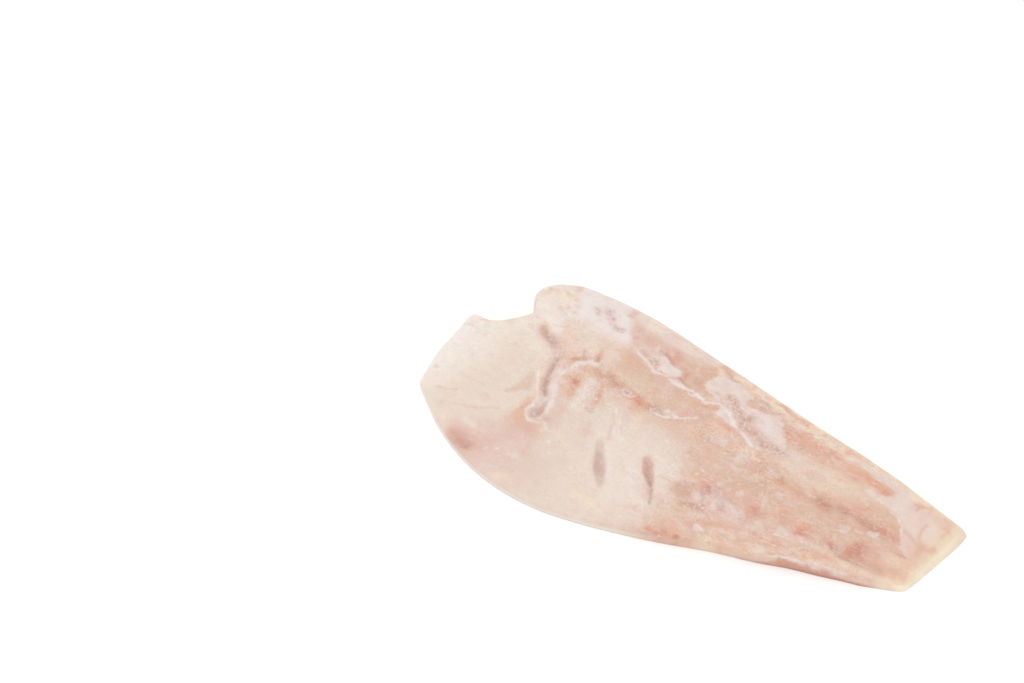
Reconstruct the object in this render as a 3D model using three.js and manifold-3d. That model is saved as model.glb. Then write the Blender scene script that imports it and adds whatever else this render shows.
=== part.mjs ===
// A skinless Nile perch fillet that lies flat with its bone side up.
// Millimetres. +X runs from the head cut to the tail cut, +Y from the belly edge to the back edge, +Z is up.
// The origin is at the middle of the fillet's box, on the surface that it lies on.
import * as THREE from 'three';
import { mergeVertices } from 'three/addons/utils/BufferGeometryUtils.js';
import Module from 'manifold-3d';

// Size of the whole fillet
const filletLength = 322;
const filletWidth = 152;

// Thickness of the flesh, measured up from the surface that the fillet lies on
const bellyThickness = 8.5;
const backThickness = 13;
const loinRise = { atHead: 13, atTail: 4, centre: 0.78, spread: 0.24 };
const wallRise = { atFlap: 0.5, atMiddle: 6, atTail: 3.5, centre: 0.42, spread: 0.25 };

// How much thinner the flesh gets at the belly edge, at the back edge by the tail, and in all towards the tail
const bellyThinning = { atFlap: 4.5, atTail: 1.2, reach: 0.2 };
const backThinning = { atTail: 6, from: 0.72 };
const tailThinning = { share: 0.25, from: 0.72 };

// Rounding of the rim, and how far the rounded underside would bulge below the resting face, in thicknesses
const rim = { atCuts: 4, atBelly: 5, atBack: 9, power: 2.6 };
const undersideBulge = 0.4;

// The knife leans at the tail, so the cut face slopes back by this much from its foot to its top
const tailCutSlope = { back: 7, fromHeight: 0.35, reach: 6 };

// How fast the head cut's notch and the tail cut's bow die away along the fillet
const cutFade = 3;

// Number of grid steps along the length, across the width and up the side
const steps = { length: 90, width: 44, height: 4 };
const edgeCrowding = 0.6;

// A place in plan, as shares of the length from the head end and of the width from the belly side
function at(alongLength, acrossWidth) {
  return new THREE.Vector2((alongLength - 0.5) * filletLength, (acrossWidth - 0.5) * filletWidth);
}

// The four corners and the four edges of the outline: a broad belly flap, a notch, the nape and the tail
const flapCorner = at(0.01, 0.245);
const napeCorner = at(0.156, 0.97);
const tailBackCorner = at(0.998, 0.847);
const tailBellyCorner = at(0.967, 0.48);

const headCut = new THREE.SplineCurve([
  flapCorner,
  at(0.002, 0.382),
  at(0.0, 0.517),
  at(0.002, 0.617),
  at(0.045, 0.623),
  at(0.105, 0.708),
  at(0.088, 0.784),
  at(0.103, 0.867),
  napeCorner,
]);
const backEdge = new THREE.SplineCurve([
  napeCorner,
  at(0.28, 1.0),
  at(0.451, 0.969),
  at(0.689, 0.908),
  at(0.875, 0.877),
  tailBackCorner,
]);
const tailCut = new THREE.SplineCurve([
  tailBellyCorner,
  at(0.983, 0.663),
  tailBackCorner,
]);
const bellyEdge = new THREE.SplineCurve([
  flapCorner,
  at(0.106, 0.109),
  at(0.199, 0.03),
  at(0.298, 0.003),
  at(0.403, 0.032),
  at(0.565, 0.144),
  at(0.783, 0.322),
  tailBellyCorner,
]);

// Furrows and a crest in the upper face: where bones came away, where flakes gape and along the midline
const relief = [
  {
    // the trench between the flap and the loin, a bent line from the notch towards the belly
    points: [
      at(0.15, 0.67), at(0.181, 0.64), at(0.201, 0.604), at(0.207, 0.532), at(0.218, 0.469), at(0.235, 0.413),
      at(0.24, 0.334),
    ],
    halfWidth: 3.3,
    rise: -2.6,
  },
  {
    // the crest beside the trench, on its tail side
    points: [at(0.277, 0.637), at(0.246, 0.617), at(0.231, 0.538), at(0.229, 0.499), at(0.249, 0.42), at(0.26, 0.328)],
    halfWidth: 3,
    rise: 0.8,
  },
  {
    // the first gape in the belly wall
    points: [at(0.381, 0.341), at(0.402, 0.269), at(0.426, 0.206)],
    halfWidth: 3.2,
    rise: -3,
  },
  {
    // the second gape, nearer the tail
    points: [at(0.467, 0.377), at(0.488, 0.315), at(0.516, 0.246)],
    halfWidth: 2.8,
    rise: -3,
  },
  {
    // the first rib's mark
    points: [at(0.26, 0.545), at(0.274, 0.473)],
    halfWidth: 2.6,
    rise: -1.2,
  },
  {
    // the second rib's mark
    points: [at(0.308, 0.565), at(0.321, 0.479)],
    halfWidth: 2.6,
    rise: -1.2,
  },
  {
    // the midline, where the backbone lay
    points: [at(0.217, 0.628), at(0.332, 0.601), at(0.503, 0.582), at(0.798, 0.608), at(0.944, 0.569)],
    halfWidth: 7,
    rise: -1.6,
  },
];

function bell(s) {
  return Math.exp(-s * s);
}

function ramp(value, from, to) {
  return THREE.MathUtils.smoothstep(value, from, to);
}

// A point of the plan: the straight line from belly edge to back edge, plus what the cuts add near the ends
function planPoint(u, v) {
  const point = bellyEdge.getPointAt(u).lerp(backEdge.getPointAt(u), v);
  const headBow = headCut.getPointAt(v).sub(flapCorner.clone().lerp(napeCorner, v));
  const tailBow = tailCut.getPointAt(v).sub(tailBellyCorner.clone().lerp(tailBackCorner, v));
  point.addScaledVector(headBow, (1 - u) ** cutFade);
  point.addScaledVector(tailBow, u ** cutFade);
  return point;
}

// Height of the upper face: a wedge from belly to back, with the loin and the belly wall as soft swells,
// less what it loses towards its edges and its tail
function thickness(u, v) {
  const wedge = THREE.MathUtils.lerp(bellyThickness, backThickness, v);
  const loinHeight = THREE.MathUtils.lerp(loinRise.atHead, loinRise.atTail, ramp(u, 0, 1));
  const wallHeight = wallRise.atFlap
    + (wallRise.atMiddle - wallRise.atFlap) * ramp(u, 0.2, 0.6)
    + (wallRise.atTail - wallRise.atMiddle) * ramp(u, 0.7, 1);
  const loin = loinHeight * bell((v - loinRise.centre) / loinRise.spread);
  const wall = wallHeight * bell((v - wallRise.centre) / wallRise.spread);
  const whole = (wedge + loin + wall) * (1 - tailThinning.share * ramp(u, tailThinning.from, 1));
  const bellyLoss = THREE.MathUtils.lerp(bellyThinning.atFlap, bellyThinning.atTail, ramp(u, 0.4, 0.7));
  const backLoss = backThinning.atTail * ramp(u, 0.7, 1);
  return whole - bellyLoss * (1 - ramp(v, 0, bellyThinning.reach)) - backLoss * ramp(v, backThinning.from, 1);
}

// Distance in plan from a point to the nearest of a line's straight stretches
function distanceToLine(point, line) {
  let nearest = Infinity;
  for (let i = 1; i < line.length; i += 1) {
    const start = line[i - 1];
    const run = line[i].clone().sub(start);
    const share = THREE.MathUtils.clamp(point.clone().sub(start).dot(run) / run.lengthSq(), 0, 1);
    nearest = Math.min(nearest, point.distanceTo(start.clone().addScaledVector(run, share)));
  }
  return nearest;
}

function reliefHeight(point) {
  return relief.reduce(
    (height, form) => height + form.rise * bell(distanceToLine(point, form.points) / form.halfWidth),
    0,
  );
}

// Grid lines move towards the ends, where the rim is rounded
function crowd(s) {
  return (1 - edgeCrowding) * s + edgeCrowding * (1.5 * s - 0.5 * s ** 3);
}

// Presses a point of the cube's surface onto a cube of the same size with rounded edges
function roundRim(cubePoint) {
  const sideRim = cubePoint.y < 0 ? rim.atBelly : rim.atBack;
  const reach = new THREE.Vector3(rim.atCuts / (filletLength / 2), sideRim / (filletWidth / 2), 1);
  const scaled = cubePoint.clone().divide(reach);
  const core = new THREE.Vector3(1 / reach.x - 1, 1 / reach.y - 1, 0);
  const inner = scaled.clone().clamp(core.clone().negate(), core);
  const outward = scaled.sub(inner);
  const norm = (
    Math.abs(outward.x) ** rim.power + Math.abs(outward.y) ** rim.power + Math.abs(outward.z) ** rim.power
  ) ** (1 / rim.power);
  return inner.addScaledVector(outward, 1 / norm).multiply(reach);
}

// Carries a point of the rounded cube to its place on the fillet
function filletPoint(cubePoint) {
  const rounded = roundRim(cubePoint);
  const u = (rounded.x + 1) / 2;
  const v = (rounded.y + 1) / 2;
  const w = (rounded.z + 1) / 2;
  const plan = planPoint(u, v);
  plan.x -= tailCutSlope.back * Math.max(w - tailCutSlope.fromHeight, 0) * u ** tailCutSlope.reach;
  const height = thickness(u, v) * (w * (1 + undersideBulge) - undersideBulge);
  return new THREE.Vector3(plan.x, plan.y, height + reliefHeight(plan) * ramp(w, 0.5, 1));
}

// The whole form, with its rounded underside still below the resting face.
// The quarter turn makes the grid's diagonals run the way that the gapes do.
function filletForm() {
  const box = new THREE.BoxGeometry(2, 2, 2, steps.width, steps.length, steps.height);
  box.rotateZ(Math.PI / 2);
  box.deleteAttribute('normal');
  box.deleteAttribute('uv');
  const form = mergeVertices(box);
  const position = form.getAttribute('position');
  const cubePoint = new THREE.Vector3();
  for (let i = 0; i < position.count; i += 1) {
    cubePoint.fromBufferAttribute(position, i);
    cubePoint.set(crowd(cubePoint.x), crowd(cubePoint.y), cubePoint.z);
    const place = filletPoint(cubePoint);
    position.setXYZ(i, place.x, place.y, place.z);
  }
  return form;
}

// A block under the resting face, larger than the fillet each way
function blockBelow() {
  const depth = filletWidth / 4;
  const block = new THREE.BoxGeometry(1.5 * filletLength, 1.5 * filletWidth, depth);
  block.translate(0, 0, -depth / 2);
  block.deleteAttribute('normal');
  block.deleteAttribute('uv');
  return mergeVertices(block);
}

function toSolid(wasm, geometry) {
  return new wasm.Manifold(new wasm.Mesh({
    numProp: 3,
    vertProperties: new Float32Array(geometry.getAttribute('position').array),
    triVerts: new Uint32Array(geometry.getIndex().array),
  }));
}

function toGeometry(solid) {
  const mesh = solid.getMesh();
  const geometry = new THREE.BufferGeometry();
  geometry.setAttribute('position', new THREE.BufferAttribute(mesh.vertProperties, 3));
  geometry.setIndex(new THREE.BufferAttribute(mesh.triVerts, 1));
  return geometry;
}

// Moves the geometry so that the origin is at the middle of its box in plan
function centreInPlan(geometry) {
  geometry.computeBoundingBox();
  const middle = geometry.boundingBox.getCenter(new THREE.Vector3());
  geometry.translate(-middle.x, -middle.y, 0);
  geometry.computeVertexNormals();
  return geometry;
}

const wasm = await Module();
wasm.setup();
const flatSided = toSolid(wasm, filletForm()).subtract(toSolid(wasm, blockBelow()));

const flesh = new THREE.MeshStandardMaterial({ color: 0xe6cdbd, roughness: 0.45, metalness: 0 });
const fillet = new THREE.Mesh(centreInPlan(toGeometry(flatSided)), flesh);
fillet.name = 'fillet';

const part = new THREE.Group();
part.add(fillet);

export default part;
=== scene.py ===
import math
import bpy
import numpy as np
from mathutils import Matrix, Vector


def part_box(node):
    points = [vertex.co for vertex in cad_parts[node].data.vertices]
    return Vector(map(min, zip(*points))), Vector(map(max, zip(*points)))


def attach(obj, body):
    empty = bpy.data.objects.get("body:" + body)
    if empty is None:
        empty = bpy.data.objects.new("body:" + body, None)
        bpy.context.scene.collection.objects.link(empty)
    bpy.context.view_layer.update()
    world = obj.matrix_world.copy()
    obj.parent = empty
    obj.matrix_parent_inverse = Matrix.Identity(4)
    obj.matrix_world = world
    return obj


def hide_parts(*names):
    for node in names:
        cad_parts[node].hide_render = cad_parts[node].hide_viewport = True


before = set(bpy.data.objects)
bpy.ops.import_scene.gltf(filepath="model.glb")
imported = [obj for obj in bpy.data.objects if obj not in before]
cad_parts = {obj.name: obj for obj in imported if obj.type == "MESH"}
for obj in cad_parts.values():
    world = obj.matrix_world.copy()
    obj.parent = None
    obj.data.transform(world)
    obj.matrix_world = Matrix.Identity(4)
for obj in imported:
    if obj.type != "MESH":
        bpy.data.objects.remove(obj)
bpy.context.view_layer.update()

mm = 0.001


# smooth step from 0 at start to 1 at end, which may lie below start
def ramp(value, start, end):
    share = np.clip((value - start) / (end - start), 0, 1)
    return share * share * (3 - 2 * share)


# 1 at zero, falling off as the exponential of minus the square
def bell(distance):
    return np.exp(-distance * distance)


# random values on a square lattice, blended between its corners with a quintic step
def latticeNoise(x, y, cell, seed):
    side = 64  # values along each side, after which the pattern repeats
    table = np.random.default_rng(seed).uniform(-1, 1, (side, side))
    column, row = np.floor(x / cell).astype(int), np.floor(y / cell).astype(int)
    shareX, shareY = x / cell - column, y / cell - row
    stepX, stepY = [s ** 3 * (s * (s * 6 - 15) + 10) for s in (shareX, shareY)]

    def corner(right, up):
        return table[(column + right) % side, (row + up) % side]

    lower = corner(0, 0) + stepX * (corner(1, 0) - corner(0, 0))
    upper = corner(0, 1) + stepX * (corner(1, 1) - corner(0, 1))
    return lower + stepY * (upper - lower)


# distance in plan to the nearest straight stretch of a line, or to a single point
def lineDistance(x, y, points):
    points = np.asarray(points, float).reshape(-1, 2)
    nearest = np.hypot(x - points[0, 0], y - points[0, 1])
    for start, end in zip(points[:-1], points[1:]):
        run = end - start
        share = np.clip(((x - start[0]) * run[0] + (y - start[1]) * run[1]) / (run @ run), 0, 1)
        away = np.hypot(x - start[0] - share * run[0], y - start[1] - share * run[1])
        nearest = np.minimum(nearest, away)
    return nearest


# depth inside a closed outline: the distance to its nearest side, negative outside
def outlineDepth(x, y, points):
    points = np.asarray(points, float)
    inside = np.zeros(x.shape, bool)
    for (ax, ay), (bx, by) in zip(points, np.roll(points, -1, axis=0)):
        if ay != by:
            inside ^= ((ay > y) != (by > y)) & (x < (bx - ax) * (y - ay) / (by - ay) + ax)
    distance = lineDistance(x, y, np.vstack([points, points[:1]]))
    return np.where(inside, distance, -distance)


# soft mask of a closed outline: half at its sides, 1 from the softness inwards
def insideOf(x, y, outline, softness):
    return ramp(outlineDepth(x, y, outline), -softness, softness)


# four-sided faces of a grid of point numbers
def gridQuads(index):
    corners = [index[:-1, :-1], index[1:, :-1], index[1:, 1:], index[:-1, 1:]]
    return np.stack(corners, axis=-1).reshape(-1, 4)


# new object in the scene
def addObject(name, data):
    item = bpy.data.objects.new(name, data)
    bpy.context.collection.objects.link(item)
    return item


# The fillet's form, in mm. Outline places are shares of its length from the head and of its width from the
# belly, stretches are shares of the length, and relief is placed in plan, from the middle.
filletForm = dict(
    length=322, width=152,
    flapCorner=(0.01, 0.245), napeCorner=(0.156, 0.97),
    tailBackCorner=(0.998, 0.847), tailBellyCorner=(0.967, 0.48),
    headCut=[
        (0.002, 0.382), (0.0, 0.517), (0.002, 0.617), (0.045, 0.623), (0.105, 0.708), (0.088, 0.784),
        (0.103, 0.867),
    ],
    backEdge=[(0.28, 1.0), (0.451, 0.969), (0.689, 0.908), (0.875, 0.877)],
    tailCut=[(0.983, 0.663)],
    bellyEdge=[
        (0.106, 0.109), (0.199, 0.03), (0.298, 0.003), (0.403, 0.032), (0.565, 0.144), (0.783, 0.322),
    ],
    cutFade=3,  # power by which the bows of the two cuts die away along the fillet
    # thickness: a wedge, two swells across the width, and what is lost at the edges and the tail
    bellyThickness=8.5, backThickness=13,
    loin=dict(atHead=13, lessAtTail=9, centre=0.78, spread=0.24),
    wall=dict(
        atFlap=0.5, gain=5.5, gainStretch=(0.2, 0.6), loss=2.5, lossStretch=(0.7, 1),
        centre=0.42, spread=0.25,
    ),
    bellyLoss=dict(atFlap=4.5, lessAtTail=3.3, stretch=(0.4, 0.7), reach=0.2),
    backLoss=dict(atTail=6, stretch=(0.7, 1), start=0.72),
    tailLoss=dict(share=0.25, stretch=(0.72, 1)),
    # rounding of the rim, crisper along the belly towards the tail, and the bulge that is pressed flat below
    rimAtCuts=2.8, rimAtBelly=5, rimAtBack=9, rimPower=2.6, bulgeBelow=0.75,
    crisper=dict(share=0.45, stretch=(0.35, 0.6)),  # this stretch is in half lengths from the middle
    tailSlope=dict(back=8.3, start=0.45, power=6),  # lean of the tail cut above this share of the height
    upperFace=(0.5, 1), paintedTop=(0.6, 0.9),  # shares of the height over which relief and top marks set in
    sharpAngle=50,  # degrees, so that there is a clean edge where the fillet meets the board
    stepsLength=380, stepsWidth=180, stepsSide=10, crowding=0.15,
    # furrows and a crest in the upper face: half width, rise and the line they follow
    relief=[
        (2.4, -1.5, [
            (-111.8, 25.6), (-101.8, 21.1), (-95.3, 15.6), (-93.3, 4.6), (-89.8, -4.9), (-84.3, -13.4),
            (-82.8, -25.4)]),
        (2.6, 0.8, [
            (-70.8, 20.6), (-80.8, 17.6), (-85.8, 5.6), (-86.3, -0.4), (-79.8, -12.4), (-76.3, -26.4)]),
        (2.4, -1.2, [(-76.3, 6.6), (-71.8, -4.4)]), (2.2, -1.2, [(-60.8, 9.6), (-56.8, -3.4)]),
        (0.9, -0.8, [(0, -29.5), (4, -34), (7.5, -40.5)]),
        (7.0, -1.6, [(-90.1, 19.2), (-53.2, 15.2), (1.9, 12.3), (96.8, 16.3), (143.8, 10.3)]),
    ],
    # places where the outline is drawn in or out, at the belly and at the tail cut's corners:
    # place, shift and reach
    drawnIn=[
        ((52, -47), (-0.5, 1.7), 24), ((92, -31), (-0.3, 1.2), 14), ((131, -16), (0.2, -1.0), 9),
        ((152.5, -5), (-1.0, 0.6), 5), ((161, 52), (-0.8, -0.6), 5),
    ],
    # gapes in the belly wall: half width, depth and the two ends, and where their sides begin and end
    gapes=[
        (3.9, 1.6, [(-41.3, -18.5), (-21.3, -47.8)]), (3.2, 1.6, [(-11.8, -14.8), (2.2, -31.8)]),
    ],
    gapeSides=(1.1, 0.35),
    # unevenness as a broad, a middle and a fine noise: height and cell size, then how the last two grow
    # along the length
    unevenness=[(0.35, 19), (0.2, 7), (0.09, 3.1)],
    roughAtHead=0.5, rougherAtTail=0.8, roughFrom=-20, roughTo=40,
    filmRise=0.3, rimRise=0.2, filmEdge=(-0.5, 0.7),  # how far films and white rims stand proud
)


# share of the way from a lens shape's middle, 0, to its rim, 1: its axis runs between the two ends
def lensReach(x, y, ends, halfWidth):
    start, end = np.asarray(ends, float)
    middle, half = (start + end) / 2, (end - start) / 2
    along = ((x - middle[0]) * half[0] + (y - middle[1]) * half[1]) / (half @ half)
    across = ((y - middle[1]) * half[0] - (x - middle[0]) * half[1]) / np.hypot(*half)
    return np.hypot(along, across / halfWidth)


# Catmull-Rom curve through the points, walked at equal steps of its length
def alongCurve(points, share):
    points = np.asarray(points, float)
    spans, finePoints = len(points) - 1, 400
    padded = np.vstack([points[:1], points, points[-1:]])
    t = np.linspace(0, spans, finePoints * spans + 1)
    first = np.minimum(t.astype(int), spans - 1)
    s = (t - first)[:, None]
    a, b, c, d = [padded[first + k] for k in range(4)]
    square, cube = a - 2.5 * b + 2 * c - d / 2, 1.5 * (b - c) + (d - a) / 2
    curve = b + s * (c - a) / 2 + s ** 2 * square + s ** 3 * cube
    walked = np.concatenate([[0], np.cumsum(np.hypot(*np.diff(curve, axis=0).T))])
    return np.stack([np.interp(share * walked[-1], walked, curve[:, k]) for k in (0, 1)], axis=-1)


# plan point: straight from belly edge to back edge, plus what the two cuts add near the ends
def planPoint(u, v):
    form = filletForm
    corners = [form[name] for name in ("flapCorner", "napeCorner", "tailBellyCorner", "tailBackCorner")]
    size = np.array([form["length"], form["width"]])
    flap, nape, tailBelly, tailBack = [(np.array(corner) - 0.5) * size for corner in corners]

    def edge(start, name, end, share):
        return alongCurve(np.vstack([start, (np.array(form[name]) - 0.5) * size, end]), share)

    u2, v2 = u[..., None], v[..., None]
    plan = (1 - v2) * edge(flap, "bellyEdge", tailBelly, u) + v2 * edge(nape, "backEdge", tailBack, u)
    headBow = edge(flap, "headCut", nape, v) - ((1 - v2) * flap + v2 * nape)
    tailBow = edge(tailBelly, "tailCut", tailBack, v) - ((1 - v2) * tailBelly + v2 * tailBack)
    return plan + (1 - u2) ** form["cutFade"] * headBow + u2 ** form["cutFade"] * tailBow


# height of the upper face: a wedge from belly to back with the loin and the belly wall as soft swells,
# less what it loses at the belly edge, at the back edge by the tail and in all towards the tail
def thickness(u, v):
    form = filletForm
    loin, wall, atBelly, atBack, atTail = [
        form[name] for name in ("loin", "wall", "bellyLoss", "backLoss", "tailLoss")
    ]
    wedge = form["bellyThickness"] + (form["backThickness"] - form["bellyThickness"]) * v
    loinHeight = loin["atHead"] - loin["lessAtTail"] * ramp(u, 0, 1)
    wallHeight = wall["atFlap"] + wall["gain"] * ramp(u, *wall["gainStretch"])
    wallHeight = wallHeight - wall["loss"] * ramp(u, *wall["lossStretch"])
    loinSwell = loinHeight * bell((v - loin["centre"]) / loin["spread"])
    wallSwell = wallHeight * bell((v - wall["centre"]) / wall["spread"])
    whole = (wedge + loinSwell + wallSwell) * (1 - atTail["share"] * ramp(u, *atTail["stretch"]))
    bellyLoss = atBelly["atFlap"] - atBelly["lessAtTail"] * ramp(u, *atBelly["stretch"])
    backLoss = atBack["atTail"] * ramp(u, *atBack["stretch"])
    return whole - bellyLoss * (1 - ramp(v, 0, atBelly["reach"])) - backLoss * ramp(v, atBack["start"], 1)


# cube point pressed onto a cube with rounded edges: the part past the core is brought to unit length
def roundRim(a, b, c):
    form = filletForm
    reachX = form["rimAtCuts"] / (form["length"] / 2)
    bellyRim = form["rimAtBelly"] * (1 - form["crisper"]["share"] * ramp(a, *form["crisper"]["stretch"]))
    reachY = np.where(b < 0, bellyRim, form["rimAtBack"]) / (form["width"] / 2)
    x, y = a / reachX, b / reachY
    innerX = np.clip(x, 1 - 1 / reachX, 1 / reachX - 1)
    innerY = np.clip(y, 1 - 1 / reachY, 1 / reachY - 1)
    power = form["rimPower"]
    norm = (np.abs(x - innerX) ** power + np.abs(y - innerY) ** power + np.abs(c) ** power) ** (1 / power)
    return (innerX + (x - innerX) / norm) * reachX, (innerY + (y - innerY) / norm) * reachY, c / norm


# cube surface as one closed net: a fine grid above, rings down the side, a grid half as fine below,
# with its lines drawn a little towards the edges
def cubeNet():
    stepsU, stepsV, stepsW = [filletForm[name] for name in ("stepsLength", "stepsWidth", "stepsSide")]
    crowding = filletForm["crowding"]
    gridA, gridB = np.meshgrid(np.linspace(-1, 1, stepsU + 1), np.linspace(-1, 1, stepsV + 1), indexing="ij")
    gridA, gridB = [(1 - crowding) * s + crowding * (1.5 * s - 0.5 * s ** 3) for s in (gridA, gridB)]

    def roundTheRim(grid):
        return np.concatenate([grid[:-1, 0], grid[-1, :-1], grid[:0:-1, -1], grid[0, :0:-1]])

    above = np.arange(gridA.size).reshape(gridA.shape)
    ringSize = 2 * (stepsU + stepsV)
    rings = above.size + np.arange(stepsW * ringSize).reshape(stepsW, ringSize)
    rings = np.vstack([roundTheRim(above), rings])
    below = np.full(gridA.shape, -1)
    below[:-1, 0] = rings[-1, :stepsU]
    below[-1, :-1] = rings[-1, stepsU:stepsU + stepsV]
    below[:0:-1, -1] = rings[-1, stepsU + stepsV:2 * stepsU + stepsV]
    below[0, :0:-1] = rings[-1, 2 * stepsU + stepsV:]
    inner = below[2:-2:2, 2:-2:2]
    inner[:] = rings[-1, -1] + 1 + np.arange(inner.size).reshape(inner.shape)

    a, b = [
        np.concatenate([grid.ravel(), np.tile(roundTheRim(grid), stepsW), grid[2:-2:2, 2:-2:2].ravel()])
        for grid in (gridA, gridB)
    ]
    levels = np.repeat(np.linspace(1, -1, stepsW + 1)[1:], ringSize)
    c = np.concatenate([np.ones(above.size), levels, -np.ones(inner.size)])

    onward = np.roll(rings, -1, axis=1)
    sideQuads = np.stack([rings[:-1], rings[1:], onward[1:], onward[:-1]], axis=-1).reshape(-1, 4)
    # cells below: four corners, and the fine ring's extra points where a cell meets it
    cells = np.stack([
        below[:-2:2, :-2:2], below[:-2:2, 1::2], below[:-2:2, 2::2], below[1::2, 2::2],
        below[2::2, 2::2], below[2::2, 1::2], below[2::2, :-2:2], below[1::2, :-2:2],
    ], axis=-1).reshape(-1, 8)
    plain = (cells >= 0).sum(axis=1) == 4
    faces = np.vstack([gridQuads(above), sideQuads, cells[plain][:, ::2]]).tolist()
    faces += [cell[cell >= 0].tolist() for cell in cells[~plain]]
    return a, b, c, faces


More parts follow.
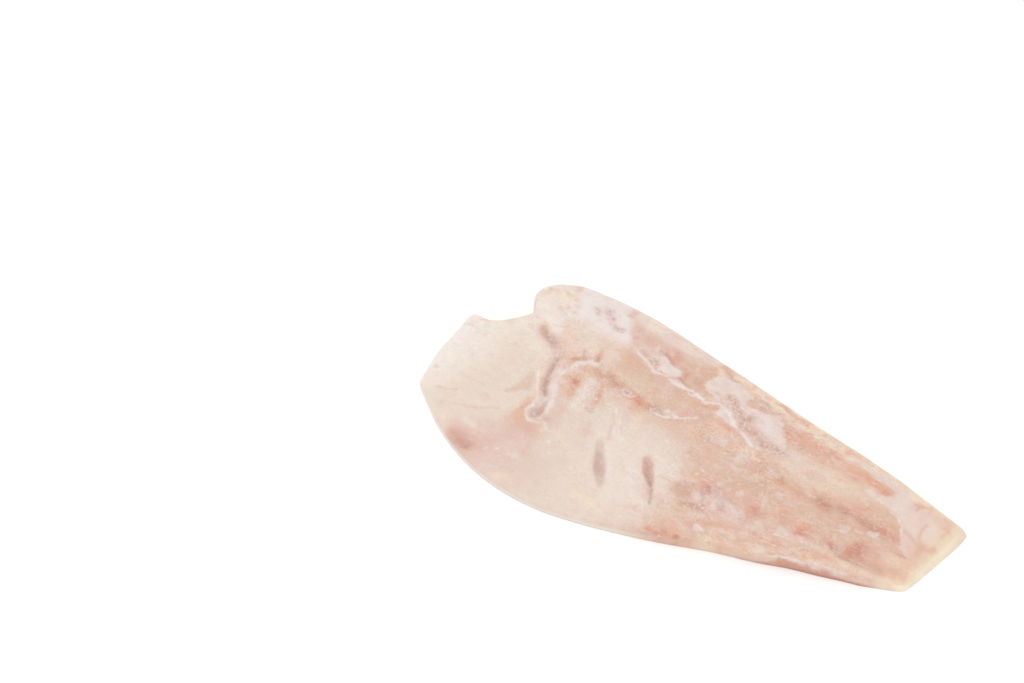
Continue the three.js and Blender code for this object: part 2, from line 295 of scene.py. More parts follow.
# Colours of the flesh as they look in even white light, and where they lie in plan, in mm from the middle
fleshPaint = dict(
    lightLevel=1.13,  # how much brighter than its own colour a surface shows under the studio light
    colours=dict(
        membrane=(240, 230, 221), ivory=(232, 216, 201), wall=(230, 212, 199), rose=(226, 198, 186),
        flesh=(225, 193, 174), tan=(218, 184, 163), pale=(234, 211, 197), pink=(223, 182, 169),
        fat=(247, 226, 200), cream=(250, 234, 210), frost=(240, 230, 226), white=(248, 243, 241),
        orange=(226, 174, 149), red=(209, 141, 123), brown=(194, 143, 122), purple=(203, 171, 163),
        slot=(219, 194, 181), lilac=(230, 212, 207), side=(211, 154, 135), olive=(226, 208, 186),
        # tallow is the cut faces' pale colour, brightened as painted light on these steep faces
        rust=(186, 128, 108), litTallow=(255, 239, 214),
    ),
    wander=[(0.7, 6.5), (0.5, 2.3)],  # noises that push painted edges about: height and cell size
    # broad fields and patches, laid in turn: colour, strength, softness of the edge and closed outline
    fields=[
        # flap
        ("ivory", 1.0, 4, [
            (-170, 24), (-140, 22), (-120, 24), (-110, 19), (-100, 17), (-96, 8), (-96, -2), (-92, -10),
            (-90, -18), (-92, -32), (-98, -48), (-108, -66), (-124, -76), (-150, -70), (-172, -40)]),
        ("membrane", 0.95, 14, [
            (-172, 28), (-144, 24), (-134, 16), (-130, 2), (-134, -15), (-140, -28), (-150, -40),
            (-172, -44)]),
        ("white", 0.4, 9, [(-172, 24), (-152, 22), (-149, 0), (-152, -20), (-156, -36), (-172, -40)]),
        # soft tan patch beside the trench: painted shade
        ("tan", 0.55, 1.6, [
            (-107.5, -21), (-104, -20), (-100, -14.7), (-95, -13.4), (-97.4, -7), (-99.5, -1), (-102.5, -1),
            (-103.5, -10)]),
        # belly wall
        ("wall", 1.0, 8, [
            (-70, 12), (-55, 12), (-45, 8), (-30, 6), (-12, 5), (2, 2), (8, -3), (8, -9), (13, -14),
            (10, -20), (14, -26), (13, -32), (17, -37), (13, -43), (9, -51), (0, -64), (-34, -82),
            (-100, -82), (-94, -66), (-84, -50), (-72, -40), (-70, -28), (-76, -10)]),
        ("rose", 0.85, 12, [
            (-120, -50), (-100, -41), (-76, -41), (-62, -50), (-56, -62), (-72, -72), (-98, -74),
            (-116, -68)]),
        ("ivory", 0.35, 6, [
            (-60, -34), (-46, -34), (-36, -46), (-20, -50), (-4, -44), (8, -50), (0, -62), (-20, -70),
            (-45, -62)]),
        ("membrane", 0.4, 8, [
            (-48, -12), (-30, -6), (-8, -8), (4, -14), (8, -30), (2, -46), (-20, -50), (-40, -44)]),
        ("frost", 0.5, 3, [(-71, 13), (-64, 13), (-63, 4), (-63.5, -8), (-68, -10), (-70, 0)]),
        ("orange", 0.35, 4.5, [
            (-93.5, -17), (-90, -17), (-89, -24), (-87, -29.5), (-81, -31), (-76, -32), (-77, -37),
            (-90, -39), (-97, -37), (-97, -31), (-93, -27)]),
        # nape
        ("ivory", 0.95, 5, [
            (-136, 44), (-128, 62), (-112, 80), (-100, 80), (-100, 40), (-102, 28), (-118, 29),
            (-126, 34)]),
        ("membrane", 0.6, 5, [
            (-132, 38), (-122, 44), (-104, 41), (-99, 36), (-100, 26), (-118, 28), (-126, 32)]),
        ("membrane", 0.5, 6, [(-134, 42), (-128, 62), (-112, 80), (-100, 80), (-100, 40), (-118, 38)]),
        ("frost", 0.75, 5, [
            (-114, 84), (-111, 62), (-109, 44), (-97, 39), (-66, 39), (-63, 44), (-66, 52), (-70, 58),
            (-76, 62), (-77, 84)]),
        ("pale", 0.9, 4, [(-101, 41), (-66, 41), (-58, 36), (-66, 22), (-80, 22), (-92, 20), (-99, 25)]),
        ("olive", 0.6, 4, [(-98, 40), (-76, 38), (-68, 34), (-72, 28), (-95, 27)]),
        ("membrane", 0.8, 3, [(-130, 32), (-122, 34), (-117, 29), (-116, 22), (-124, 20), (-132, 22)]),
        ("frost", 0.3, 6, [(-98, 42), (-72, 44), (-58, 42), (-62, 34), (-78, 32), (-98, 34)]),
        ("membrane", 0.4, 4, [(-130, 24), (-112, 21), (-98, 15), (-104, 10), (-128, 14)]),
        ("frost", 0.4, 2, [(-84, 15), (-77, 14), (-79, 9), (-84, 8)]),
        # trench
        ("lilac", 0.75, 1.5, [
            (-89, -9), (-83, -9), (-79.5, -14), (-77.5, -22), (-77.5, -27), (-83, -29), (-88, -27),
            (-87.5, -20), (-88.5, -15)]),
        ("lilac", 0.7, 1.5, [
            (-92, 14), (-88, 16), (-85, 10), (-85.5, 0), (-82, -8), (-86, -9), (-90, -3), (-91.5, 4)]),
        ("lilac", 0.5, 2, [(-101, 18), (-96, 19), (-94, 14), (-97, 10), (-100, 12)]),
        # loin
        ("tan", 0.7, 5, [(-64, 38), (-30, 33), (-5, 31), (8, 26), (4, 18), (-30, 20), (-62, 22)]),
        ("pale", 1.0, 4, [(-74, 80), (-40, 78), (-12, 74), (-14, 62), (-36, 59), (-56, 59), (-74, 64)]),
        ("frost", 0.35, 4, [(-76, 80), (-48, 76), (-50, 60), (-66, 58), (-76, 64)]),
        ("pink", 0.5, 4, [
            (-70, 58), (-56, 59), (-44, 55), (-30, 53), (-22, 50), (-28, 44), (-40, 47), (-56, 48),
            (-66, 48)]),
        ("tan", 0.9, 3, [
            (-29, 44), (-27, 52), (-20, 57), (-12, 60), (-8, 56), (-11, 47), (-8, 40), (-20, 38.5),
            (-25, 40)]),
        ("olive", 0.65, 4, [(-57, 25), (-46, 26), (-34, 23), (-36, 18), (-50, 16), (-57, 18)]),
        ("lilac", 0.3, 3, [(-36, 30), (-24, 28), (-18, 24), (-26, 21), (-36, 25)]),
        ("tan", 0.35, 4, [(-60, 19), (-22, 18), (-22, 11), (-58, 11)]),
        ("membrane", 0.3, 5, [(-92, -6), (-78, -4), (-76, -22), (-88, -22)]),
        ("membrane", 0.3, 6, [(-118, 48), (-100, 46), (-96, 30), (-110, 28)]),
        # back edge and loin towards the tail
        ("fat", 0.6, 4, [(30, 66), (52, 60), (60, 49), (80, 49), (90, 50), (130, 49), (150, 60), (90, 70)]),
        ("cream", 0.6, 3, [(-6, 70), (40, 66), (95, 62), (95, 57), (60, 57), (34, 54), (18, 55), (0, 59)]),
        ("tan", 0.2, 1.2, [(17, 47), (16.5, 50), (19, 53), (26, 54), (29, 51), (28, 47)]),
        ("orange", 0.42, 3, [
            (43, 46), (44, 40), (50, 37), (56, 36), (70, 38), (84, 40), (84, 46), (70, 47), (56, 49)]),
        ("pale", 0.55, 4, [
            (54, 34), (75, 33), (105, 35), (112, 30), (100, 22), (80, 17), (60, 18), (50, 24)]),
        ("olive", 0.35, 5, [(56, 32), (80, 31), (108, 32), (104, 24), (80, 19), (60, 20)]),
        ("tan", 0.45, 3, [(108, 31), (126, 30), (131, 25), (131, 20), (108, 22)]),
        # midline towards the tail
        ("orange", 0.5, 4, [
            (92, 21), (104, 22), (122, 21.5), (132, 21), (133, 14), (118, 15), (100, 13), (90, 14)]),
        ("tan", 0.5, 3, [(97, 14), (110, 14), (112, 8), (98, 7)]),
        ("pale", 0.3, 4, [(10, 24), (30, 21), (50, 23), (46, 16), (28, 14), (12, 17)]),
        # below the midline
        ("pink", 0.6, 5, [
            (24, -10), (30, -7), (44, -9), (56, -8), (62, -14), (60, -24), (48, -29), (34, -31), (24, -30),
            (20, -20)]),
        ("lilac", 0.5, 2.5, [
            (36, -15), (46, -15.5), (54, -18), (55.5, -23), (50, -25.5), (44, -23), (37, -24)]),
        ("lilac", 0.2, 2.5, [(23, -19), (29, -19), (32, -25), (28, -28.5), (22, -27)]),
        ("pink", 0.35, 6, [(66, 6), (84, 8), (104, 8), (108, -4), (84, -14), (70, -10)]),
        ("red", 0.4, 3, [
            (111, -3), (114, 2), (119, 6.5), (127, 6.5), (130, 3), (124, 0), (121, -4), (115, -5)]),
        ("fat", 0.5, 2, [
            (102, -12), (112, -9.5), (124, -7.5), (134, -7), (146, -6), (146, -14), (124, -14.5),
            (106, -16)]),
        ("fat", 0.3, 3, [
            (40, -47), (52, -44), (64, -38), (76, -32), (84, -30), (80, -26), (66, -32), (48, -39)]),
        ("side", 0.7, 0.7, [
            (70, -40), (75, -36.5), (80, -32.6), (84, -29.4), (87.5, -26.6), (92, -25.2), (97, -23.3),
            (103, -21.4), (109, -19.5), (115, -17.9), (122, -16.2), (130, -14.2), (138, -12.4), (132, -20),
            (112, -28), (90, -38)]),
        ("tan", 0.3, 8, [
            (40, 18), (80, 14), (112, 24), (128, 18), (112, 2), (90, -14), (60, -22), (36, -16)]),
        # later touches along the back, the loin and the nape
        ("fat", 0.2, 8, [(74, 50), (130, 48), (134, 18), (100, 16), (76, 20)]),
        ("frost", 0.3, 4, [(-62, 63), (-40, 63), (-14, 67), (-12, 58), (-34, 54), (-62, 52)]),
        ("cream", 0.4, 3, [(28, 59), (52, 57), (54, 51), (40, 50), (30, 52)]),
        ("frost", 0.5, 3, [
            (-111, 52), (-98, 52), (-90, 44), (-72, 44), (-72, 40), (-96, 39.5), (-109, 42)]),
        # warmer flesh about the midline and along the back by the tail
        ("tan", 0.5, 6, [(90, 24), (108, 31), (128, 29), (132, 20), (126, 12), (108, 8), (94, 10)]),
        ("orange", 0.4, 5, [(96, 20), (112, 20), (114, 10), (98, 9)]),
        ("orange", 0.45, 4, [(76, 46), (96, 46), (98, 38), (78, 38)]),
        ("orange", 0.35, 4, [(122, 48), (150, 48), (150, 42), (124, 42)]),
        ("orange", 0.35, 4, [(136, 20), (149, 22), (149, 8), (138, 6)]),
        ("orange", 0.35, 4, [(78, 47), (112, 47), (112, 36), (78, 38)]),
        ("orange", 0.35, 5, [(104, 24), (134, 28), (134, 10), (104, 10)]),
        # tail cut
        ("fat", 0.95, 4, [
            (152, 58), (168, 54), (168, 20), (160, -12), (138, -16), (138, -7), (146, 3), (150, 18),
            (152, 38)]),
        ("fat", 0.3, 3, [(143, 37), (151, 38), (151, 26), (144, 26)]),
        ("fat", 0.7, 3, [(122, 53), (148, 54), (152, 44), (134, 44), (122, 46)]),
        ("fat", 0.4, 4, [(132, 12), (144, 12), (146, 2), (132, 2)]),
        ("orange", 0.3, 4, [(136, 52), (155, 49), (155, 40), (138, 41)]),
        ("fat", 0.45, 5, [(126, 44), (148, 42), (153, 24), (138, 23), (128, 32)]),
        # film by the tail cut
        ("pink", 0.4, 3, [(129, 45), (140, 44), (140, 38), (130, 38)]),
        ("white", 0.35, 3, [(118, 45), (127, 45), (128, 36), (120, 33)]),
        ("lilac", 0.5, 2, [(143, 35), (149, 35), (150, 27), (144, 25.5)]),
        # patches with a clear edge
        ("orange", 1.0, 0.7, [
            (97, 44.5), (103, 44.8), (110, 44.3), (116.5, 44.7), (116, 41), (113.5, 38), (110.5, 36.8),
            (108, 38.5), (103, 38.5), (98, 40.5)]),
        ("orange", 0.5, 1.6, [(80, 45), (93, 44.5), (99, 44.6), (99, 40.5), (88, 39), (80, 40.5)]),
        ("red", 0.45, 0.8, [(126.5, 45.4), (135, 49), (134, 46), (132.4, 43.6), (131.5, 41), (130.5, 44)]),
    ],
    gapePaint=(1.15, 0.7),  # where the gapes' colour begins and is full, as shares of the way to their rim
    # strokes in the flesh: colour, strength, half width, and the line or the place they lie at
    strokes=[
        # flap
        ("rose", 0.75, 0.9, [(-130, -45), (-121, -42), (-114, -40), (-108, -36.5), (-103, -33)]),
        ("tan", 0.45, 0.7, [(-144, -38.3), (-138, -37.7), (-132, -34.8)]),
        ("purple", 0.45, 1.2, [(-152.5, -27)]), ("rose", 0.35, 4.0, [(-100, -4)]),
        ("orange", 0.55, 2.4, [(-91, -19), (-90.5, -25), (-91.5, -30)]),
        ("pink", 0.4, 5.0, [(-84, -34), (-78, -35)]),
        ("red", 0.45, 4.0, [(-116, -60), (-110, -61), (-103, -62.5)]),
        ("brown", 0.6, 3.2, [(-114, -60.5), (-108, -62), (-104, -63)]),
        ("rust", 0.45, 2.0, [(-110, -62.8), (-105.5, -62.8)]),
        ("purple", 0.45, 2.0, [(-111, -57), (-107, -57.8)]),
        ("pink", 0.5, 5.0, [(-117, -58), (-104, -58), (-97, -61)]),
        ("pink", 0.3, 2.6, [(-96, -48.5), (-88, -47), (-82, -44.5)]),
        ("rose", 0.5, 2.4, [(-102, -44.5), (-96, -46.5)]), ("tan", 0.3, 2.4, [(-97, -54), (-92, -53)]),
        ("olive", 0.5, 2.2, [(-100, -50), (-97, -48)]), ("pink", 0.3, 2.2, [(-73, -46.5), (-72, -49)]),
        ("lilac", 0.5, 1.6, [(-88, -69), (-80, -66)]), ("olive", 0.4, 1.6, [(-104, -66.5), (-96, -64)]),
        ("membrane", 0.5, 1.6, [(-116, -48), (-108, -50.5)]),
        ("membrane", 0.4, 1.4, [(-80, -56), (-75, -54.5)]), ("rose", 0.4, 1.0, [(-62, -42), (-56, -37.5)]),
        ("fat", 0.55, 1.6, [(-128, -53), (-126, -54)]), ("fat", 0.4, 3.0, [(-77, -70), (-70, -68)]),
        ("rose", 0.4, 2.0, [(-100, -52), (-90, -46), (-80, -44)]),
        # nape
        ("tan", 0.45, 1.8, [(-113.5, 67), (-111, 58)]),
        ("fat", 0.35, 5.0, [(-118, 52), (-110, 51)]), ("white", 0.35, 2.6, [(-117, 32), (-104, 28)]),
        # the white stroke from (-127.5, 50) to (-124, 57) is a painted highlight along the nape's left rim,
        # partly white ice
        ("white", 0.7, 1.8, [(-127.5, 50), (-124, 57)]), ("pink", 0.75, 1.8, [(-75.8, 66), (-75.2, 61.5)]),
        ("tan", 0.4, 2.5, [(-72, 33), (-70, 35)]), ("olive", 0.4, 3.0, [(-75, 31), (-70, 31)]),
        ("orange", 0.35, 4.0, [(-58, 34), (-56, 27)]), ("fat", 0.5, 3.0, [(-65, 70), (-55, 69)]),
        # trench between flap and loin: the dark purple and brown line down it is partly the flesh's own
        # stain and partly painted shade in the groove
        ("brown", 0.4, 1.8, [(-114, 26.6), (-111, 25.2)]),
        ("purple", 0.65, 2.1, [(-109, 23.6), (-105, 22.4), (-101, 21.4)]),
        ("purple", 0.45, 1.2, [(-94.5, 18.5), (-93.5, 16)]),
        ("purple", 0.6, 1.3, [(-94.3, 14), (-94, 11.5)]),
        ("purple", 0.9, 1.4, [(-93.5, 9.5), (-93.2, 3.5)]), ("brown", 0.4, 1.0, [(-93.2, 9), (-92.8, 5.5)]),
        ("purple", 0.95, 1.5, [(-92.8, 1), (-91, -3.5)]), ("brown", 0.4, 0.9, [(-92, -0.5), (-91, -3)]),
        ("purple", 0.95, 1.4, [(-90, -5), (-88, -7.5), (-86.2, -9.3)]),
        ("brown", 0.5, 0.9, [(-89, -6.5), (-86.8, -8.8)]), ("olive", 0.6, 1.5, [(-88, -11)]),
        ("fat", 0.4, 2.0, [(-96, 4), (-96.5, 0)]), ("pink", 0.45, 1.2, [(-87.5, 14), (-88.5, 9)]),
        ("purple", 0.6, 1.5, [(-82.5, -14), (-81.3, -18), (-80.5, -22)]),
        ("pink", 0.6, 2.4, [(-85, -21.5), (-82.5, -25.5)]),
        ("brown", 0.45, 1.3, [(-81, -20), (-80.3, -24)]),
        # the purple mark from (-75, -24.5) to (-72.5, -23.8) and the olive one at (-76, -30) are painted
        # shadows beside the trench's right lip
        ("purple", 0.4, 1.4, [(-75, -24.5), (-72.5, -23.8)]), ("olive", 0.5, 1.8, [(-76, -30)]),
        ("fat", 0.5, 2.0, [(-73, -32.3)]), ("fat", 0.3, 2.4, [(-64, -29), (-61, -30)]),
        # rib marks
        ("tan", 0.8, 1.1, [(-82, 5.6), (-80.3, 7.6)]), ("fat", 0.5, 1.8, [(-82.5, 2.5)]),
        ("orange", 0.65, 2.4, [(-77.5, 8.5), (-74.5, 5.5)]), ("red", 0.75, 1.5, [(-76.3, 7), (-75, 6)]),
        ("rust", 0.9, 0.9, [(-75.3, 6.2)]), ("orange", 0.75, 1.7, [(-75, 4), (-73.2, -0.5)]),
        ("orange", 0.5, 2.2, [(-76.5, -2.5), (-73.5, -1.5)]), ("rose", 0.4, 3.0, [(-79, -4), (-76, -10)]),
        ("tan", 0.3, 3.0, [(-72, -14), (-70, -20)]), ("orange", 0.7, 1.6, [(-61, 14), (-60.5, 9)]),
        ("brown", 0.6, 1.0, [(-60.6, 9), (-60.2, 6.5)]), ("orange", 0.85, 2.2, [(-60, 8), (-58.3, 1.5)]),
        ("red", 0.45, 1.0, [(-59.3, 6), (-58.6, 4)]), ("pink", 0.45, 2.2, [(-59, -1), (-57.5, -4)]),
        ("purple", 0.45, 0.9, [(-60.5, -6.3), (-57.5, -7.2), (-54.8, -6)]),
        ("tan", 0.4, 2.0, [(-55, 5), (-53, 0)]), ("tan", 0.4, 2.2, [(-64.5, 8), (-63.5, -2)]),
        # midline towards the head
        ("brown", 0.3, 3.0, [(-68, 18), (-45, 15.5), (-26, 14.5)]),
        ("brown", 0.55, 1.4, [(-86.5, 18.3), (-83, 20)]), ("brown", 0.6, 1.4, [(-80.5, 21.4), (-77, 21.8)]),
        ("brown", 0.75, 1.5, [(-73.6, 25.5), (-72.7, 23.2)]),
        ("orange", 0.6, 1.6, [(-73.4, 29), (-73.4, 26.5)]),
        ("purple", 0.7, 0.8, [(-83.5, 26), (-81.5, 22.8)]),
        ("tan", 0.6, 1.8, [(-76, 16), (-71, 18.8), (-66, 18)]),
        ("brown", 0.4, 1.3, [(-71, 18.5), (-65, 17.8)]),
        ("brown", 0.5, 1.7, [(-62, 19.5), (-58, 18), (-55, 15.6)]),
        ("tan", 0.5, 3.0, [(-62, 15.5), (-57, 16)]), ("tan", 0.6, 2.6, [(-55, 16), (-41, 16.5)]),
        ("brown", 0.4, 1.0, [(-58.8, 20), (-57.4, 17.6), (-54, 16.2), (-50, 16.8)]),
        ("tan", 0.6, 3.4, [(-50, 16.5), (-34, 16), (-22, 16), (-10, 14.5)]),
        ("brown", 0.3, 2.2, [(-53, 16.5), (-42, 15.5), (-30, 15)]),
        ("orange", 0.7, 3.0, [(-42, 14.5), (-33, 13)]), ("red", 0.5, 1.8, [(-38.5, 14.5), (-35, 12)]),
        ("brown", 0.5, 1.6, [(-31, 12.5), (-28, 13)]), ("purple", 1.0, 0.9, [(-46.4, 15.4), (-45.4, 15.3)]),
        ("brown", 0.7, 0.7, [(-46, 15.4)]), ("purple", 0.85, 1.7, [(-26, 14), (-24, 13.4)]),
        ("brown", 0.6, 1.0, [(-25.2, 14)]), ("purple", 0.65, 1.0, [(-21, 14), (-20, 14.4)]),
        ("tan", 0.7, 1.5, [(-28.3, 18.5), (-27.8, 16.5)]), ("fat", 0.5, 1.2, [(-33, 15.5), (-30, 16)]),
        ("purple", 0.4, 0.9, [(-16.5, 15)]), ("tan", 0.5, 1.2, [(-13, 13.3), (-10, 12.5)]),
        ("orange", 0.45, 2.5, [(-37, 8), (-33, 9)]), ("tan", 0.4, 2.4, [(-24, 17), (-22, 19)]),
        ("pale", 0.3, 2.5, [(-53, 11), (-42, 10)]),
        # loin
        ("pink", 0.55, 2.5, [(-51, 30.5), (-48.5, 27.5)]), ("orange", 0.4, 3.0, [(-50, 33)]),
        ("olive", 0.4, 3.0, [(-61, 28), (-58, 27)]), ("olive", 0.4, 3.0, [(-12, 22)]),
        ("orange", 0.5, 2.5, [(-6, 31), (-3.5, 30.5)]), ("orange", 0.5, 2.2, [(0.8, 32), (4, 31.5)]),
        ("pink", 0.55, 1.6, [(1, 25.5), (5, 26)]), ("pink", 0.45, 3.0, [(-9, 20), (-5, 20.5)]),
        ("tan", 0.6, 1.8, [(-20, 37.5), (-6, 37.5)]), ("brown", 0.5, 1.4, [(-26, 37.5), (-22, 36.8)]),
        ("brown", 0.4, 1.0, [(-20, 36), (-17.5, 36.2)]), ("red", 0.55, 1.8, [(-23.3, 42.5), (-22.3, 39)]),
        ("red", 0.4, 3.0, [(-37, 54), (-34, 50)]), ("brown", 0.45, 1.4, [(-44, 49), (-39, 48.2)]),
        ("red", 0.5, 1.8, [(-37.5, 48), (-34.5, 45.6)]), ("pink", 0.5, 4.0, [(-52, 54), (-44, 53)]),
        ("orange", 0.35, 3.0, [(-27, 47), (-24, 45)]), ("olive", 0.5, 2.4, [(-58, 47.5), (-55, 46)]),
        ("cream", 0.5, 1.0, [(-48, 51.5), (-47, 48)]), ("cream", 0.4, 0.9, [(-40, 52.5), (-38, 50.5)]),
        ("cream", 0.5, 0.8, [(-20.8, 52), (-20.3, 49.5)]), ("orange", 0.6, 2.2, [(-13, 58), (-9.5, 57.5)]),
        ("orange", 0.5, 2.5, [(-17, 53), (-13, 50)]), ("brown", 0.3, 2.5, [(-15, 42), (-12, 41)]),
        ("fat", 0.6, 1.6, [(-10, 59), (-8, 56)]),
        # back edge
        ("orange", 0.75, 2.0, [(-8.5, 64), (-6, 60.5)]), ("brown", 0.4, 1.3, [(-4, 58.5), (2, 57)]),
        ("orange", 0.5, 1.4, [(10, 63), (13, 62)]), ("orange", 0.4, 1.8, [(21, 58.5), (24, 58.5)]),
        ("fat", 0.5, 2.0, [(16, 59), (19, 58.5)]), ("fat", 0.5, 2.2, [(30, 55.5), (34, 56)]),
        ("pink", 0.55, 1.8, [(31, 59), (36, 58)]), ("red", 0.4, 1.8, [(39, 57.5), (41.5, 57)]),
        ("purple", 0.5, 0.9, [(21, 53.6), (24, 54.2), (27.5, 53), (29.5, 51)]),
        ("pink", 0.5, 1.0, [(31, 49), (34, 51.5), (36.5, 53)]), ("pink", 0.5, 2.4, [(37, 51), (41, 49)]),
        ("orange", 0.55, 2.4, [(45, 56.5), (53, 56)]), ("fat", 0.6, 2.5, [(50, 52), (57, 53)]),
        ("olive", 0.6, 3.0, [(64, 52), (72, 51)]), ("brown", 0.45, 1.8, [(43.5, 43.5), (44.5, 40)]),
        ("orange", 0.7, 3.0, [(46, 44), (48, 40)]), ("red", 0.28, 2.4, [(54, 45), (58, 42)]),
        ("orange", 0.7, 2.5, [(63, 44), (67, 43)]), ("orange", 0.4, 2.2, [(56, 48), (57.5, 46)]),
        ("orange", 0.5, 3.0, [(72, 44), (79, 43)]), ("orange", 0.5, 2.2, [(81, 52.5), (92, 52.5)]),
        ("frost", 0.5, 2.4, [(83, 48), (87, 48)]), ("red", 0.4, 1.8, [(111, 40), (113, 42)]),
        # belly wall
        ("tan", 0.5, 0.9, [(-43, -1), (-40.5, -6), (-38.5, -11), (-36.5, -17)]),
        ("tan", 0.45, 0.8, [(-39, -1.5), (-34.5, -9)]),
        ("frost", 0.5, 2.4, [(-34, -23), (-27, -31.5), (-22, -40)]),
        ("frost", 0.5, 2.5, [(-15, -27), (-10, -34)]), ("lilac", 0.7, 1.5, [(-6, -17), (1, -25)]),
        ("frost", 0.5, 3.5, [(4, -16), (10, -19)]), ("lilac", 0.5, 2.2, [(-18, -4), (-12, -9.5)]),
        ("fat", 0.5, 2.5, [(-32, -57.5), (-24, -57)]), ("fat", 0.4, 3.0, [(-20, -57), (-14, -58.5)]),
        ("rose", 0.35, 5.0, [(-50, -45), (-56, -50)]), ("orange", 0.25, 2.5, [(-37, 3), (-35, 0)]),
        ("fat", 0.35, 3.0, [(-30, 3), (-28, -3)]), ("tan", 0.25, 2.5, [(-52, -14), (-51, -22)]),
        # first gape: the pale stroke on its left side and the darker purple, olive and tan strokes within
        # are partly the flesh's own colour and partly painted light and shade on its walls
        ("purple", 0.3, 1.8, [(-36.8, -26.5), (-31, -36)]), ("olive", 0.7, 1.8, [(-39, -21.5), (-38, -25)]),
        ("purple", 0.3, 2.0, [(-31, -34.5), (-27, -40)]), ("pale", 0.4, 1.6, [(-38, -30), (-35.5, -35.5)]),
        ("tan", 0.4, 2.5, [(-35, -32), (-29, -39)]),
        # second gape
        ("orange", 0.55, 2.4, [(-9.5, -19), (-4.5, -24.5)]),
        ("brown", 0.4, 1.6, [(-8.5, -19.5), (-2, -27.5)]), ("rust", 0.35, 1.3, [(-4, -27), (-1.5, -28.5)]),
        ("pink", 0.55, 2.6, [(-1, -33), (3, -36.5)]), ("lilac", 0.5, 2.2, [(-3.5, -36), (0, -39)]),
        ("brown", 0.5, 1.0, [(-1, -29), (1.5, -31.5), (3.5, -33.5)]),
        ("brown", 0.5, 0.8, [(3.5, -33.5), (5, -36.5), (7.3, -40.3)]),
        # tail half, above the midline
        ("tan", 0.6, 2.5, [(5, 14), (10, 13.5)]), ("tan", 0.5, 2.5, [(20, 14), (24, 13)]),
        ("pink", 0.45, 1.8, [(11, 27.3), (16, 27)]), ("orange", 0.55, 2.6, [(12, 24.5), (18, 24)]),
        ("olive", 0.5, 2.5, [(32, 18), (36, 17)]), ("cream", 0.5, 1.0, [(37.5, 19), (40, 15.5)]),
        ("tan", 0.5, 2.0, [(36, 10.5), (37, 8)]), ("pink", 0.5, 2.5, [(41, 10), (47, 10)]),
        ("tan", 0.5, 2.0, [(45, 17), (48, 16)]), ("tan", 0.5, 1.4, [(50.5, 6.5), (53, 7.5)]),
        ("lilac", 0.35, 3.0, [(30, 8), (32, 12)]), ("tan", 0.4, 2.0, [(90, 36), (100, 34)]),
        ("pale", 0.4, 2.0, [(14, 18), (18, 16)]), ("lilac", 0.4, 2.4, [(54, 28), (60, 29)]),
        # midline towards the tail
        ("orange", 0.5, 3.5, [(81, 17), (92, 18.5), (104, 19), (118, 18.5), (132, 18.5)]),
        ("orange", 0.85, 2.4, [(57, 11), (62, 10)]), ("brown", 0.45, 1.8, [(60.5, 13), (63, 10.5)]),
        ("orange", 0.75, 2.6, [(66, 11), (72, 11.5)]), ("orange", 0.6, 2.0, [(73, 11.5), (77, 11)]),
        ("red", 0.4, 2.4, [(81, 12), (84, 13)]),
        ("tan", 0.5, 5.0, [(84, 14), (100, 16), (116, 17), (132, 17)]),
        ("brown", 0.7, 2.8, [(85.5, 14), (91, 12.3)]), ("red", 0.5, 2.4, [(87, 11), (91, 10.5)]),
        ("brown", 0.65, 2.6, [(97, 16.4), (101, 15.9)]), ("red", 0.4, 2.0, [(101, 17.5), (104, 16.5)]),
        ("orange", 0.6, 2.0, [(104, 22), (109, 23.5)]), ("brown", 0.6, 2.4, [(109, 16.3), (117, 16.6)]),
        ("brown", 0.45, 2.2, [(117, 16.8), (124, 18)]), ("red", 0.5, 2.0, [(123, 19), (131, 18.5)]),
        ("tan", 0.6, 2.4, [(126, 14.5), (133, 12)]), ("brown", 0.45, 0.9, [(137, 12), (142, 11.8)]),
        # tail half, below the midline
        ("pink", 0.5, 4.0, [(26, -13), (36, -16), (48, -15)]), ("pink", 0.4, 4.0, [(54, -6), (64, -12)]),
        ("purple", 0.5, 2.2, [(27, -19), (32, -24)]), ("purple", 0.45, 2.2, [(36, -13), (40, -20)]),
        ("red", 0.4, 2.4, [(29, -15), (34, -15.5)]), ("brown", 0.4, 1.8, [(22, -30.5), (34, -27.5)]),
        ("tan", 0.5, 4.0, [(16, -24), (22, -25)]), ("lilac", 0.5, 3.0, [(44, -19), (54, -21)]),
        ("tan", 0.5, 2.5, [(74, -1), (82, -1)]), ("tan", 0.4, 2.5, [(92, 4), (98, 5)]),
        ("lilac", 0.6, 0.8, [(82.5, -2.8), (84.5, 0.2)]), ("cream", 0.4, 0.8, [(84, -2.2), (90, -1)]),
        ("pink", 0.35, 2.5, [(98, 21), (96, 12)]), ("red", 0.75, 2.8, [(115, -3), (117.5, 0)]),
        ("red", 0.5, 2.6, [(117.5, 2.5), (119, 4)]), ("red", 0.45, 2.4, [(120, -1), (123, -2)]),
        ("pink", 0.5, 3.5, [(126, 8), (130, 9)]), ("orange", 0.45, 4.0, [(128, -1), (142, 0)]),
        ("brown", 0.5, 1.2, [(104, -6.6), (112, -8), (120, -6.5), (127, -5.3)]),
        ("orange", 0.7, 3.6, [(84.5, -7), (89, -5)]), ("red", 0.7, 2.6, [(86, -9.5), (88.5, -8)]),
        ("red", 0.45, 1.4, [(85, -11.3), (87.5, -10.8)]), ("red", 0.3, 2.4, [(101, -6), (105, -6)]),
        ("red", 0.3, 2.2, [(72, -7), (75, -9.5)]), ("red", 0.65, 2.8, [(57.5, -13.8), (60, -12.8)]),
        ("orange", 0.4, 2.2, [(60, -11), (62, -10)]), ("brown", 0.6, 1.6, [(30, -14.5), (31, -16.5)]),
        ("red", 0.6, 1.6, [(32.5, -14.5), (35, -14)]),
        ("purple", 0.5, 1.0, [(27.5, -19.5), (29.5, -21.5), (31.5, -23.5)]),
